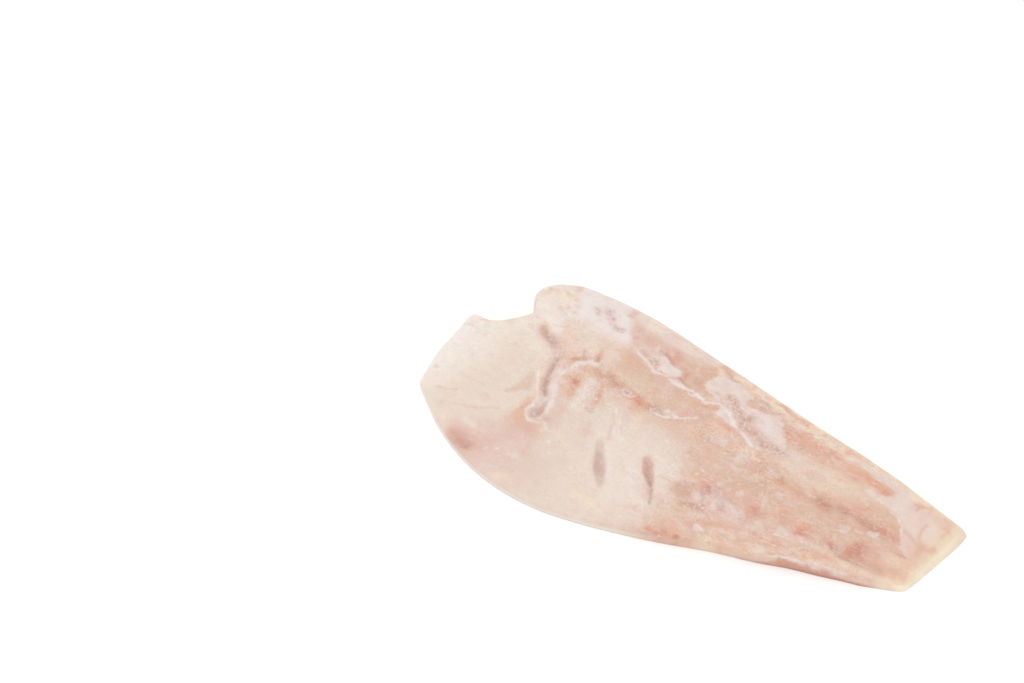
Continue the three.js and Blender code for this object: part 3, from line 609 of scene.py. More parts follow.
        ("purple", 0.5, 1.2, [(36, -16), (38, -18)]), ("purple", 0.45, 1.4, [(41, -18.5), (42.5, -22.5)]),
        ("frost", 0.5, 1.4, [(36.5, -21), (38.5, -23)]), ("brown", 0.55, 3.0, [(15.5, -23), (19.5, -24.5)]),
        ("tan", 0.6, 2.6, [(14, -25), (19, -21)]), ("brown", 0.45, 1.0, [(22.5, -30), (28, -28.7)]),
        ("brown", 0.4, 1.0, [(31, -28), (35, -27)]),
        ("orange", 0.6, 1.8, [(36, -34.5), (42, -33), (47, -31), (53, -28.5)]),
        ("lilac", 0.45, 1.5, [(30, -33.5), (37, -31)]), ("pink", 0.4, 2.0, [(11, -2), (13, -4.5)]),
        ("pink", 0.4, 1.6, [(15, -1.5), (17, -4)]), ("orange", 0.35, 3.0, [(20, -11), (24, -12)]),
        ("tan", 0.45, 2.5, [(9, -1), (13, -1)]), ("tan", 0.5, 3.6, [(36, -4), (44, -3)]),
        ("tan", 0.45, 4.0, [(50, -1), (56, 1)]), ("pink", 0.55, 2.2, [(24, -42), (30, -40), (36, -37.5)]),
        ("fat", 0.35, 3.0, [(46, -37), (47, -42)]), ("orange", 0.75, 2.0, [(52, -43), (54.5, -41.8)]),
        ("olive", 0.5, 2.4, [(57, -37), (63, -36)]), ("orange", 0.5, 3.6, [(20, -49), (28, -46)]),
        ("red", 0.6, 2.0, [(15, -53.5), (20, -52), (24, -50)]),
        ("orange", 0.5, 2.4, [(28, -49), (33, -47.5)]), ("rust", 0.5, 1.0, [(30, -48.8), (31.2, -48.2)]),
        ("fat", 0.5, 1.8, [(43, -47), (48, -44.8), (50, -44)]),
        ("orange", 0.6, 1.3, [(36, -48.6), (37.5, -48.4)]), ("pink", 0.4, 2.0, [(60, -34), (66, -32)]),
        ("orange", 0.4, 3.0, [(70, -25), (66, -27)]), ("orange", 0.5, 2.5, [(76, -25), (82, -23)]),
        ("lilac", 0.45, 2.0, [(62, -22.5), (66, -20.5)]), ("pale", 0.5, 2.0, [(90, -12.5), (100, -12)]),
        ("orange", 0.55, 2.2, [(96, -18), (102, -16.5)]),
        ("orange", 0.45, 1.8, [(105, -14.5), (111, -12.5)]),
        ("pale", 0.55, 0.9, [(88, -13.8), (96, -12), (104, -10.8)]),
        ("fat", 0.5, 0.9, [(93, -22.4), (99, -20.2), (104, -18.8)]),
        ("pale", 0.5, 0.8, [(100, -19.2), (107, -16.4), (112, -14.8)]),
        ("orange", 0.4, 0.9, [(94, -16.5), (101, -15), (106, -13.2)]),
        ("pale", 0.5, 0.8, [(60, -27.5), (68, -25), (75, -22)]),
        ("lilac", 0.5, 0.9, [(64, -18), (72, -16)]), ("orange", 0.4, 1.0, [(66, -21), (74, -19)]),
        ("pale", 0.45, 0.8, [(46, -33.5), (54, -31), (62, -28.8)]),
        # edge towards the tail, and the flesh above it
        ("pink", 0.6, 1.2, [(95, -26.6), (98, -25.4)]), ("purple", 0.55, 1.0, [(100, -23.6), (105, -22.2)]),
        ("purple", 0.6, 1.0, [(111, -21.4), (118, -18.8), (125, -17)]),
        ("orange", 0.5, 2.5, [(84, -24), (95, -20.5)]), ("orange", 0.4, 2.6, [(54, -38), (66, -34)]),
        ("olive", 0.4, 2.0, [(112, -11.5), (126, -9.5)]),
        ("pink", 0.5, 1.6, [(118, -15.6), (127, -12.6), (133, -10.6)]),
        ("brown", 0.3, 2.6, [(105, -6), (114, -6), (124, -4.6), (134, -3.6)]),
        # film and flesh by the tail cut
        ("orange", 0.5, 1.3, [(133, 25.6), (137, 24.2), (141, 22.5), (146, 21.4), (150, 22), (152, 26)]),
        ("orange", 0.4, 1.3, [(146, 49), (150.5, 45), (152.6, 40), (152.4, 34)]),
        ("orange", 0.4, 1.4, [(150.5, 41)]), ("orange", 0.4, 1.2, [(136.5, 51), (138, 45)]),
        ("orange", 0.5, 1.1, [(141, 36), (140.4, 31), (142, 25.5), (146, 22.8)]),
        ("pink", 0.4, 6.0, [(120, 42), (132, 38), (138, 30)]), ("orange", 0.4, 2.0, [(134, 49), (129, 48)]),
        ("orange", 0.35, 3.0, [(143, 2), (147, 2)]), ("pink", 0.4, 1.6, [(133, 24.5), (138, 23)]),
    ],
    # thin frozen films: strength, softness of the edge and closed outline
    films=[
        # large ones
        (0.75, 3.5, [
            (-110, 84), (-109, 65), (-107, 56), (-106, 46), (-98, 43), (-80, 42), (-66, 41), (-63.5, 44),
            (-66, 48), (-69, 53), (-71, 58), (-77, 61), (-78, 67), (-78, 84)]),
        (0.4, 1.5, [
            (-56, 43.5), (-50, 45.5), (-46, 46), (-42, 47), (-41, 42), (-45, 41.5), (-50, 42.6),
            (-56, 41)]),
        (0.75, 1.0, [
            (-42.5, 46.5), (-38, 46), (-33, 43.5), (-27, 43), (-25.5, 40), (-27, 37), (-31, 35.6),
            (-38, 35.8), (-41, 37.6), (-41.5, 42)]),
        (0.6, 0.8, [
            (-27, 35.6), (-20, 34.9), (-15, 35.1), (-8, 34.7), (-4, 34), (-4.5, 32.6), (-9, 32.2),
            (-11, 30.8), (-14.5, 31), (-16, 32.6), (-20, 33), (-26, 33)]),
        (0.4, 0.9, [
            (-21.5, 15.5), (-18, 17.4), (-13, 17.6), (-10, 16.4), (-12, 14.6), (-16, 13.4), (-20, 12.6)]),
        (0.68, 1.3, [
            (-10.5, 46), (-9, 50), (-8, 54), (-6, 57), (2, 56.5), (8, 56), (14, 54.5), (17, 52), (16, 49),
            (16, 46.5), (20, 45.5), (28, 46), (31, 47), (36, 47.5), (41, 46.2), (42, 44), (43.5, 41),
            (45, 38), (49, 35), (50.8, 32), (52, 30), (52.5, 26.5), (48, 26), (44, 25.5), (41, 24),
            (38, 23), (34, 21.8), (28, 24), (24, 26), (20, 26), (16, 27), (5, 28.3), (4.5, 30), (6, 33),
            (4, 35.5), (0, 37), (-2, 38.5), (-8, 39.8), (-10, 42)]),
        (0.45, 1.0, [
            (92, 46), (104, 46.3), (117.5, 46), (117.5, 41), (114.5, 37), (110.5, 35.6), (107, 36),
            (103.5, 35.5), (103, 33.5), (108, 32.5), (114, 31.8), (121, 31.5), (125, 31), (127.5, 28.5),
            (131.5, 26), (132, 22), (134, 19), (136, 16), (138.5, 13.7), (142, 12.6), (145.5, 12.5),
            (146, 15), (143.5, 20), (142, 25), (149, 30), (150, 36), (148, 44), (140, 50), (120, 51.5),
            (100, 52.5), (92, 52)]),
        # small ones
        (0.71, 0.8, [(35, -37), (37, -36), (42, -36.5), (42.5, -38), (39, -39.7), (35.5, -39)]),
        (0.39, 0.8, [(44.3, -9.5), (46.3, -5.4), (49.2, -8.6), (47.8, -11.2), (45, -11)]),
        (0.6, 1.1, [(116.2, 13), (118.4, 15.6), (122, 17), (123.6, 15.2), (121.2, 12.8), (118, 12)]),
        (0.39, 0.8, [(110.5, 10.5), (114, 11.6), (117, 11.6), (114.5, 9.6), (111, 9)]),
        (0.39, 0.8, [(103, 3.2), (105, 6.2), (108.2, 6), (108, 3.6), (105.5, 2.6)]),
        (0.26, 0.8, [(102.3, 1.5), (107, -2.5), (106, -4.8), (103.5, -2)]),
        (0.39, 0.8, [(103, 36.3), (107.5, 37), (109.5, 35), (106, 32.8), (103, 33.6)]),
        (0.33, 0.8, [(75, -13), (79, -12), (82, -12.5), (83, -15), (79, -18.2), (75.5, -18.5)]),
        (0.33, 0.8, [(62, 2), (65, 4.8), (67.5, 3.6), (65, 1.6)]),
        (0.33, 0.8, [(55, -31.5), (57, -30), (60, -31), (59, -33), (56, -33)]),
        (0.4, 0.8, [(31.5, -9), (34, -8), (36, -10), (34.5, -12), (32, -11.5)]),
        (0.29, 0.8, [(59, -3.5), (62, -3), (62.5, -6), (60, -6.5)]),
        (0.3, 0.8, [(36, -16), (41, -16.5), (44, -19), (41, -21), (37, -20)]),
        (0.38, 0.8, [(46, -17), (52, -18.5), (54, -21.5), (49, -21)]),
        (0.2, 0.8, [(23, -20), (28, -20), (31, -23.5), (27, -25.5), (23, -24)]),
        (0.22, 0.8, [(36, -22), (41, -23), (43, -25.5), (38, -25)]),
        (0.26, 0.8, [(62, -21), (66, -20), (69, -22), (64, -23.5)]),
        (0.26, 0.8, [(69, -29), (75, -28), (78, -30), (72, -32)]),
        (0.29, 0.8, [(78, -17.5), (84, -16), (88, -13.5), (83, -14)]),
        (0.23, 0.8, [(112, -12), (122, -11), (130, -10), (122, -12.5)]),
        (0.29, 0.8, [(81, 49.5), (86, 50), (88, 47.5), (83, 46.8)]),
        (0.26, 0.8, [(28, 8.5), (31, 12), (33.5, 11), (31, 8)]),
        (0.26, 0.8, [(56, 27), (61, 29.5), (64, 28), (59, 26)]),
    ],
    filmLimit=6,  # furthest depth that is told apart, in softnesses
    fullSpan=12,  # films smaller than this have a less ragged edge
    grainReach=0.85,  # grains keep within this share of the half width
    # places where a film has thinned, and grains of dark flesh: strength of each, half width and line
    thinned=[
        # nape
        (0.5, 0.7, 3.0, [(-93.5, 53.5), (-91, 52)]),
        (0.6, 0.8, 3.2, [(-87, 56), (-84, 53.2), (-81.5, 51.5)]),
        (0.55, 0.8, 2.7, [(-79, 49), (-75.5, 47)]), (0.5, 0.75, 2.3, [(-72, 48.5)]),
        (0.3, 0.3, 2.3, [(-104, 47)]),
        # loin
        (0.7, 0.7, 1.8, [(-53, 41.6), (-50, 41)]), (0.9, 1.0, 2.2, [(-44.5, 41), (-42.5, 38.5)]),
        (0.6, 0.6, 1.4, [(-14, 33), (-11.5, 33)]), (0.6, 0.6, 1.2, [(-30, 34.4)]),
        (0.25, 0.15, 2.0, [(-1.5, 52), (0, 51)]), (0.25, 0, 1.8, [(3, 49)]),
        (0.45, 0.4, 1.9, [(-1.5, 41.2)]), (0.45, 0.4, 2.1, [(3, 38.5), (9, 37.5)]),
        (0.8, 0.85, 2.8, [(5.5, 43), (9, 43.6)]), (0.85, 0.9, 3.1, [(10, 43), (14, 39.5), (17, 35.5)]),
        (0.95, 1.0, 4.2, [(22.5, 37), (23.5, 31.5)]), (0.9, 0.9, 3.5, [(28, 31.2), (34, 29.5)]),
        (0.9, 0.9, 3.7, [(36, 28.2), (42, 26.6)]), (0.9, 0.9, 2.8, [(45, 27.6), (52, 27.6)]),
        # tail
        (0.9, 0, 7.0, [(152, 38), (150, 24), (148, 12)]), (0.85, 0, 6.0, [(130, 50), (140, 49), (150, 46)]),
        (0.5, 0, 2.0, [(143, 37)]), (0.8, 0, 2.4, [(128.5, 46), (134, 47.6)]),
        (0.7, 0, 1.6, [(131.4, 42.6)]), (0.8, 0, 1.3, [(141, 36), (140.4, 31), (142, 25.5), (146, 22.8)]),
        (0.7, 0, 1.3, [(134, 25.6), (138, 24.2), (142, 22.6)]),
        # trench, midline and gapes
        (0, 0.7, 1.9, [(-109, 24), (-102, 21.5)]), (0, 0.8, 3.0, [(-83.8, -24.5), (-81.3, -19)]),
        (0, 0.7, 1.3, [(-93.5, 13), (-93, 5), (-92, 0), (-89, -6), (-86.5, -9)]),
        (0, 0.5, 1.9, [(-73, 24)]), (0, 0.8, 1.6, [(-28, 13.4), (-20, 14)]),
        (0, 0.4, 2.1, [(-8, -20), (-2, -28)]), (0, 0.5, 1.2, [(0, -30), (4, -34)]),
        (0, 0.35, 2.6, [(-35, -29), (-24, -43)]),
        # below the midline
        (0, 0.7, 1.4, [(28.5, -16.5), (31, -14.6), (36, -15.5)]),
        (0, 0.6, 1.2, [(29, -18), (31, -21), (31.5, -24)]),
        (0, 0.6, 1.2, [(40, -17), (42, -20), (43.5, -23)]), (0, 0.6, 1.4, [(43, -15.5), (48, -14)]),
        (0, 0.5, 1.4, [(52, -20), (54.5, -22)]), (0, 0.6, 1.4, [(22, -30), (28, -28.8), (34, -27.5)]),
        (0, 0.6, 1.2, [(33.5, -25.5), (35.5, -28)]), (0, 0.4, 2.8, [(17, -22), (20, -24)]),
        (0, 0.4, 1.6, [(13, -5), (19, -5)]),
    ],
    # white frozen rims, a few of them partly painted highlights: strength, half width and line
    rims=[
        # loin
        (0.6, 1.0, [
            (-58, 41), (-53, 39.3), (-48, 38), (-45, 36.6), (-42, 35), (-38, 34.4), (-34, 34.6),
            (-31.5, 35)]),
        (0.38, 1.4, [(-29, 33.8), (-26, 33.2), (-22, 33.6), (-18, 33.8)]),
        (0.5, 1.0, [(-10, 34.3), (-5, 33.6), (-3, 32.5)]),
        (0.45, 0.7, [(-15.5, 33.5), (-13.5, 34.6), (-11, 34.2), (-10.4, 32.6), (-12.5, 31.6), (-15, 32)]),
        (0.6, 1.2, [(-4, 32), (-1, 33.5), (1, 35.2), (4, 36), (7, 35)]),
        (0.45, 0.8, [(-47, 40.5), (-46, 43.5), (-43.5, 43.8)]),
        # crest, and the trench beside it: the broad white band along the crest is partly white ice and
        # partly a painted highlight
        (0.5, 2.4, [(-71, 20), (-76, 20.2), (-79, 18.6), (-82, 16), (-83.5, 12)]),
        (0.5, 2.2, [(-83.5, 12), (-85, 6), (-85.3, 1)]),
        (0.45, 2.2, [(-85.3, 1), (-83.8, -3), (-81, -8), (-79, -12), (-78, -17), (-77.5, -21)]),
        (0.6, 1.2, [
            (-99, 1), (-95.5, -4.5), (-91.5, -10.5), (-88.6, -15), (-87.4, -19), (-88.3, -24), (-86.8, -28),
            (-84, -29.6), (-77, -29.2)]),
        (0.5, 1.4, [(-75, -27.5), (-72, -30), (-67, -30.4)]), (0.3, 1.0, [(-75.5, -23), (-76.5, -26)]),
        (0.35, 1.2, [(-88.5, 9), (-88.5, 2), (-86.5, -4)]),
        # midline and belly wall
        (0.45, 0.7, [
            (-48.6, 15.5), (-47.4, 17.1), (-45.2, 17), (-43.6, 15.9), (-44.2, 13.9), (-46.9, 13.6),
            (-48.6, 15.5)]),
        (0.4, 0.9, [(-43.4, 13.8), (-41, 14.5)]),
        (0.6, 0.9, [(-28, 12), (-26, 11.4), (-22, 11.4), (-18.5, 12.4), (-15, 13.6)]),
        (0.4, 0.9, [(-11, 15.6), (-7.5, 16.8), (-4, 18.6), (-1, 20.2)]),
        (0.5, 0.9, [(-21, 15.6), (-18, 17), (-14.5, 17.2), (-11, 15.8)]),
        (0.4, 0.8, [(-23, 12), (-22, 14.6), (-20, 15.4)]),
        (0.5, 0.8, [(-45, 4), (-41, -4), (-36, -13), (-32.5, -18)]),
        (0.5, 0.8, [(-40.5, 0), (-36, -7), (-31.5, -15)]),
        # loin towards the tail
        (0.4, 0.9, [(40, 46.5), (43, 43), (45, 39), (49, 35.5), (50.5, 31.5)]),
        (0.55, 1.6, [(8, 35), (12, 33), (15, 31), (18, 29), (21, 27)]),
        (0.5, 1.2, [(25, 26.2), (28, 25.4), (31, 23.6), (35, 22)]),
        (0.35, 0.9, [(38, 22), (42, 23.8), (46, 25)]), (0.4, 1.0, [(16, 41.5), (20, 40.6), (24, 41)]),
        # below the midline, gapes and tail
        (0.45, 0.9, [(76, -18.8), (80, -17.6), (83, -15.8), (86, -14.4)]),
        (0.42, 0.8, [
            (79, -30.4), (84, -27.8), (88, -25.8), (92, -24.6), (96, -23), (101, -21.4), (105, -20.2),
            (109, -18.6), (115, -16.6), (121, -14.8)]),
        # the rim from (-39.5, -34) to (-28, -46.5), along the first gape's left lip, is partly white ice and
        # partly a painted highlight
        (0.25, 1.2, [(-39.5, -34), (-34, -42), (-28, -46.5)]), (0.3, 0.8, [(-28, -48.3), (-21, -47.5)]),
        (0.35, 0.7, [(117.5, 31.6), (125.5, 30.6), (131.5, 26), (132.5, 22), (135, 17.6), (138, 14)]),
        (0.35, 0.7, [(128, -5), (121, -6), (117, -7.5)]),
    ],
    # small pale spots: strength, half width, and place or short line
    spots=[
        (0.22, 2.8, [(128.5, 7.6), (131.5, 8.4)]), (0.38, 1.0, [(60.5, 5.5)]),
        (0.38, 1.0, [(78, 14), (81.5, 14)]), (0.3, 1.1, [(49.2, -13)]), (0.38, 1.5, [(37, -27)]),
        (0.38, 1.0, [(32, -26)]), (0.38, 1.0, [(34.5, -27)]), (0.38, 1.0, [(53.3, -29.2)]),
        (0.3, 1.1, [(11, -3)]), (0.3, 1.0, [(24, -53.5)]), (0.3, 1.0, [(106, -15)]),
        (0.3, 1.0, [(70.8, -7.3)]), (0.38, 1.0, [(103.5, 41.3)]), (0.3, 1.0, [(39, 10)]),
        (0.3, 1.0, [(36, 16.5), (38.5, 15)]), (0.3, 1.0, [(58.5, 12)]), (0.52, 1.0, [(-59.8, 2.8)]),
        (0.38, 1.0, [(20.5, -8)]), (0.38, 1.0, [(20, -10.6)]), (0.52, 1.0, [(-58.8, 11)]),
        (0.52, 1.0, [(-88, -56), (-87, -55.4)]), (0.45, 1.0, [(-94, -60), (-92.5, -59.2)]),
        (0.45, 1.3, [(-42.5, -46)]), (0.41, 1.6, [(-59.5, -43.5)]), (0.41, 1.6, [(-64.5, -37.5)]),
        (0.26, 1.3, [(-10, -42.5)]), (0.26, 1.1, [(-0.5, -45)]), (0.3, 1.3, [(-7, -1), (-5, -1.5)]),
        (0.45, 1.0, [(-103, -50.5), (-101.5, -50)]), (0.3, 1.0, [(32, -20.5)]), (0.3, 1.0, [(62.5, -11)]),
    ],
    # places where the flesh lies smooth: strength, softness and closed outline
    calm=[
        (0.4, 8, [(54, 35), (104, 36), (128, 31), (131, 22), (100, 20), (80, 17), (60, 17), (50, 24)]),
        (0.75, 5, [(116, 50), (118, 40), (126, 32), (134, 20), (142, 12), (165, 10), (165, 56)]),
        (0.5, 5, [(84, 46), (98, 46), (118, 46), (116, 37), (98, 37), (84, 39)]),
        (0.35, 4, [(56, 18), (98, 20), (98, 4), (60, 4)]),
        (0.45, 5, [(94, 24), (134, 24), (136, 8), (94, 9)]),
        (0.55, 4, [(108, -8), (112, 7), (130, 9), (134, -2), (124, -7)]),
    ],
    # mottles and grain: how strong they are at least, what each place adds or takes away, and where those
    # places are: from and to, or centre and spread
    mottled=dict(least=0.3, back=0.25, tail=0.55, tailCut=0.6, offTop=0.25),
    grained=dict(least=0.35, flap=0.15, midline=0.5, tail=0.2, tailCut=0.35, trench=0.3, offTop=0.3),
    coarsePlaces=dict(
        tail=(-15, 30), tailCut=(118, 146), back=(5, 20), flap=(-90, -115),
        midline=(14, 14), midlineStart=(-110, -90), trenchAlong=(-82, 26), trenchAcross=(-4, 22),
    ),
    # sides: strength of each colour, stretches along the length in mm and up the side in shares of the
    # height, the top of the belly's stripe by both, and clouds as colour, strength, cell size and seed
    sides=dict(
        # membrane on the flap's belly side is partly its own pale membrane and partly painted light that
        # lifts the side's shade
        pale=0.5, lessPale=0.4, lessPaleFrom=(0, 25), membrane=0.9, membraneEnd=(25, -5),
        # tallow at the cuts is their pale colour brightened as painted light
        cream=0.5, litTallowAtHead=0.6, stripe=0.6, stripeEdge=(-0.02, 0.05),
        stripeTop=[(72, 0.46), (79, 0.66), (85, 0.84), (106, 0.84), (114, 0.68), (126, 0.57), (132, 0.45)],
        # the rusty foot is partly the flesh's own dark edge and partly painted contact shade where the
        # fillet meets the board
        rust=[(0.4, 50, 80), (0.35, 85, 100)], rustAndShadeEnd=(139, 127), rustAndShadeFoot=(0.66, 0.48),
        clouds=[("flesh", 0.55, 9, 61), ("pink", 0.35, 5, 62), ("pale", 0.5, 6, 63)],
        cloudSpan=(0, 0.7), cloudAtTail=0.4, cloudAtHead=0.5,
        top=0.87, blend=0.27, bellyCrisper=0.17, crisperFrom=(60, 80), skinBlend=(0.36, 0.25),
        edge=0.9, tailEdge=0.95, headEdge=0.96,  # where the sides begin, in half widths and half lengths
    ),
    # skin side: clouds as colour, strength, cells of a broad and a fine noise, share of the fine one and
    # the values between which they gather, then the midline, the flakes, and rusty spots as place and radius
    skinSide=dict(
        clouds=[("pink", 0.6, 37, 11, 0.4, (-0.2, 0.8)), ("pale", 0.7, 26, 9, 0.5, (0, 0.9))],
        midline=[(-130, 27), (-60, 20), (0, 16), (80, 17), (165, 15)],
        rust=0.7, rustWidth=1.5, red=0.2, redderAtTail=0.35, redStretch=(40, 120), redWidth=11,
        frost=0.5, frostWidth=9, frostCell=7, frostSpan=(0.25, 0.7),
        flake=0.55, flakeSpacing=11, flakeWidth=1.1, flakeLean=0.8, flakeWave=2.5, waveCell=15,
        flakeGap=13, flakeSpan=(-0.5, 0.5),
        spotBrown=0.5, spotOrange=0.35, orangeReach=1.8,
        spots=[
            (-118, -20, 4), (-98, 52, 3.5), (-72, -38, 5), (-48, 46, 3), (-30, -14, 3.5), (-6, 36, 4.5),
            (8, -34, 4), (34, 48, 3), (46, -12, 4.5), (72, 34, 3.5), (88, -4, 3), (104, 36, 4),
            (126, 2, 3.5), (140, 34, 3),
        ],
    ),
)


# lays a named colour over the base by a mask
def lay(base, colour, mask):
    return base + (np.array(fleshPaint["colours"][colour], float) - base) * mask[..., None]


# the plain colour of the flesh, once for each point
def plainFlesh(count):
    return np.tile(np.array(fleshPaint["colours"]["flesh"], float), (count, 1))


# plan coordinates pushed about by two sizes of noise, so that no painted edge runs smooth
def wander(x, y):
    (broad, broadCell), (small, smallCell) = fleshPaint["wander"]
    shiftX, shiftY = [
        broad * latticeNoise(x, y, broadCell, seed) + small * latticeNoise(x, y, smallCell, seed + 1)
        for seed in (11, 21)
    ]
    return x + shiftX, y + shiftY


# colour of the bone side: fields, gapes and strokes in turn, each stroke fading with distance from its line
def paintBoneSide(x, y):
    x, y = wander(x, y)
    tint = plainFlesh(len(x))
    for colour, strength, softness, outline in fleshPaint["fields"]:
        tint = lay(tint, colour, strength * insideOf(x, y, outline, softness))
    for halfWidth, _, ends in filletForm["gapes"]:
        tint = lay(tint, "slot", ramp(lensReach(x, y, ends, halfWidth), *fleshPaint["gapePaint"]))
    for colour, strength, halfWidth, line in fleshPaint["strokes"]:
        tint = lay(tint, colour, strength * bell(lineDistance(x, y, line) / halfWidth))
    return tint


# frost on the bone side: depth inside the nearest film over the softness of its edge, how much the film
# covers, how ragged that edge is (less for a small film), the white rims and spots, a few rims partly
# painted highlights, and dark specks
def paintFrost(x, y):
    x, y = wander(x, y)
    limit = fleshPaint["filmLimit"]
    depth, cover, fine = np.full(x.shape, -float(limit)), np.zeros(x.shape), np.ones(x.shape)
    for strength, softness, outline in fleshPaint["films"]:
        inside = np.clip(outlineDepth(x, y, outline) / softness, -limit, limit)
        cover = np.where(inside > depth, strength, cover)
        span = np.sqrt(np.prod(np.ptp(np.array(outline), axis=0)))
        fine = np.where(inside > depth, min(1, span / fleshPaint["fullSpan"]) / softness, fine)
        depth = np.maximum(depth, inside)
    rim, granule = np.zeros(x.shape), np.zeros(x.shape)
    for strength, grains, halfWidth, line in fleshPaint["thinned"]:
        away = lineDistance(x, y, line) / halfWidth
        cover = cover * (1 - strength * bell(away))
        granule = np.maximum(granule, grains * bell(away / fleshPaint["grainReach"]))
    for strength, halfWidth, line in fleshPaint["rims"]:
        rim = np.maximum(rim, strength * bell(lineDistance(x, y, line) / halfWidth))
    for strength, halfWidth, line in fleshPaint["spots"]:
        rim = np.maximum(rim, strength * bell((lineDistance(x, y, line) / halfWidth) ** 2))
    return dict(filmDepth=depth, filmCover=cover, filmFine=fine, rim=rim, granule=granule)


# colour of the skin side: pinkish tan clouds, pale flake lines that lean back from the midline as the
# letter V does, the dark midline itself, redder towards the tail, soft rusty spots, and frost by the midline
def paintSkinSide(x, y):
    skin = fleshPaint["skinSide"]
    x, y = wander(x, y)
    along, across = 0.8 * x + 0.6 * y, 0.8 * y - 0.6 * x  # turned, so that no cloud lies square
    tint = plainFlesh(len(x))
    for seed, (colour, strength, broad, small, share, stretch) in enumerate(skin["clouds"], 51):
        cloud = latticeNoise(along, across, broad, seed) + share * latticeNoise(x, y, small, seed + 5)
        tint = lay(tint, colour, strength * ramp(cloud, *stretch))
    away = lineDistance(x, y, skin["midline"])
    wave = latticeNoise(along, across, skin["waveCell"], 58)
    flake = x + skin["flakeLean"] * away + skin["flakeWave"] * wave
    fromLine = np.abs((flake / skin["flakeSpacing"]) % 1 - 0.5) * skin["flakeSpacing"]
    broken = ramp(latticeNoise(along, across, skin["flakeGap"], 59), *skin["flakeSpan"])
    tint = lay(tint, "pale", skin["flake"] * bell(fromLine / skin["flakeWidth"]) * broken)
    redness = skin["red"] + skin["redderAtTail"] * ramp(x, *skin["redStretch"])
    tint = lay(tint, "red", redness * bell(away / skin["redWidth"]))
    tint = lay(tint, "rust", skin["rust"] * bell(away / skin["rustWidth"]))
    for spotX, spotY, radius in skin["spots"]:
        fromSpot = np.hypot(x - spotX, y - spotY)
        tint = lay(tint, "brown", skin["spotBrown"] * bell(fromSpot / radius))
        tint = lay(tint, "orange", skin["spotOrange"] * bell(fromSpot / (skin["orangeReach"] * radius)))
    frosted = ramp(latticeNoise(along, across, skin["frostCell"], 55), *skin["frostSpan"])
    return lay(tint, "frost", skin["frost"] * bell(away / skin["frostWidth"]) * frosted)


# sides: pale along the flap, with membrane on the flap's belly side that is partly its own pale membrane and
# partly painted light lifting that side's shade, a dark stripe and a rusty foot along the belly towards the
# tail, the foot partly the flesh's own dark edge and partly painted contact shade, cream along the back,
# tallow at the cuts that is their pale colour brightened as painted light, and clouds. By height they give
# way to the bone side above and the skin below. The cube's own coordinates tell which side a point is on.
def paintSides(tint, x, y, z, a, b, w):
    sides = fleshPaint["sides"]
    belly, back = ramp(b, -sides["edge"], -1), ramp(b, sides["edge"], 1)
    atTail, atHead = ramp(a, sides["tailEdge"], 1), ramp(a, -sides["headEdge"], -1)
    side = lay(tint, "pale", sides["pale"] - sides["lessPale"] * belly * ramp(x, *sides["lessPaleFrom"]))
    # membrane on the flap's belly side: partly its own pale membrane, partly painted light that lifts the
    # side's shade
    side = lay(side, "membrane", sides["membrane"] * belly * ramp(x, *sides["membraneEnd"]))
    stripeTop = np.interp(x, *np.transpose(sides["stripeTop"]))
    side = lay(side, "side", sides["stripe"] * belly * ramp(stripeTop - w, *sides["stripeEdge"]))
    # dark rusty foot towards the tail: partly the flesh's own dark edge, partly painted contact shade where
    # the fillet meets the board
    rustAndContactShade = sum(strength * ramp(x, start, end) for strength, start, end in sides["rust"])
    rustAndContactShade = rustAndContactShade * belly * ramp(x, *sides["rustAndShadeEnd"]) * ramp(w, *sides["rustAndShadeFoot"])
    side = lay(side, "rust", rustAndContactShade)
    side = lay(side, "cream", sides["cream"] * back)
    # tallow at the cuts: their own pale colour, brightened as painted light on these steep faces
    side = lay(side, "litTallow", np.maximum(atTail, sides["litTallowAtHead"] * atHead))
    cloudy = np.clip(back + sides["cloudAtTail"] * atTail + sides["cloudAtHead"] * atHead, 0, 1)
    for colour, strength, cell, seed in sides["clouds"]:
        cloud = latticeNoise(x + 0.7 * y, 2.5 * z + 0.3 * x, cell, seed)  # wide along the side, low up it
        side = lay(side, colour, strength * ramp(cloud, *sides["cloudSpan"]) * cloudy)
    full = sides["top"] - sides["blend"] + sides["bellyCrisper"] * belly * ramp(x, *sides["crisperFrom"])
    tint = tint + (side - tint) * ramp(w, sides["top"], full)[:, None]
    return tint + (paintSkinSide(x, y) - tint) * ramp(w, *sides["skinBlend"])[:, None]


# how mottled and how grainy the flesh is: less on the flap, at the tail cut, off the upper face and in calm
# places, more towards the back, the midline, the trench and the tail
def coarseness(x, y, onTop):
    mottled, grained, places = [fleshPaint[name] for name in ("mottled", "grained", "coarsePlaces")]
    tailward, atCut = ramp(x, *places["tail"]), ramp(x, *places["tailCut"])
    mottle = mottled["least"] + mottled["back"] * ramp(y, *places["back"])
    mottle = mottle + mottled["tail"] * tailward - mottled["tailCut"] * atCut
    mottle = mottle * (mottled["offTop"] + (1 - mottled["offTop"]) * onTop)

    def swell(value, centre, spread):
        return bell((value - centre) / spread)

    grainy = grained["least"] - grained["flap"] * ramp(x, *places["flap"])
    grainy = grainy + grained["midline"] * swell(y, *places["midline"]) * ramp(x, *places["midlineStart"])
    grainy = grainy + grained["tail"] * tailward - grained["tailCut"] * atCut
    alongTrench, acrossTrench = swell(x, *places["trenchAlong"]), swell(y, *places["trenchAcross"])
    grainy = grainy + grained["trench"] * alongTrench * acrossTrench
    grainy = grainy * (grained["offTop"] + (1 - grained["offTop"]) * onTop)
    for strength, softness, outline in fleshPaint["calm"]:
        still = 1 - strength * insideOf(x, y, outline, softness)
        mottle, grainy = mottle * still, grainy * still
    return mottle, grainy


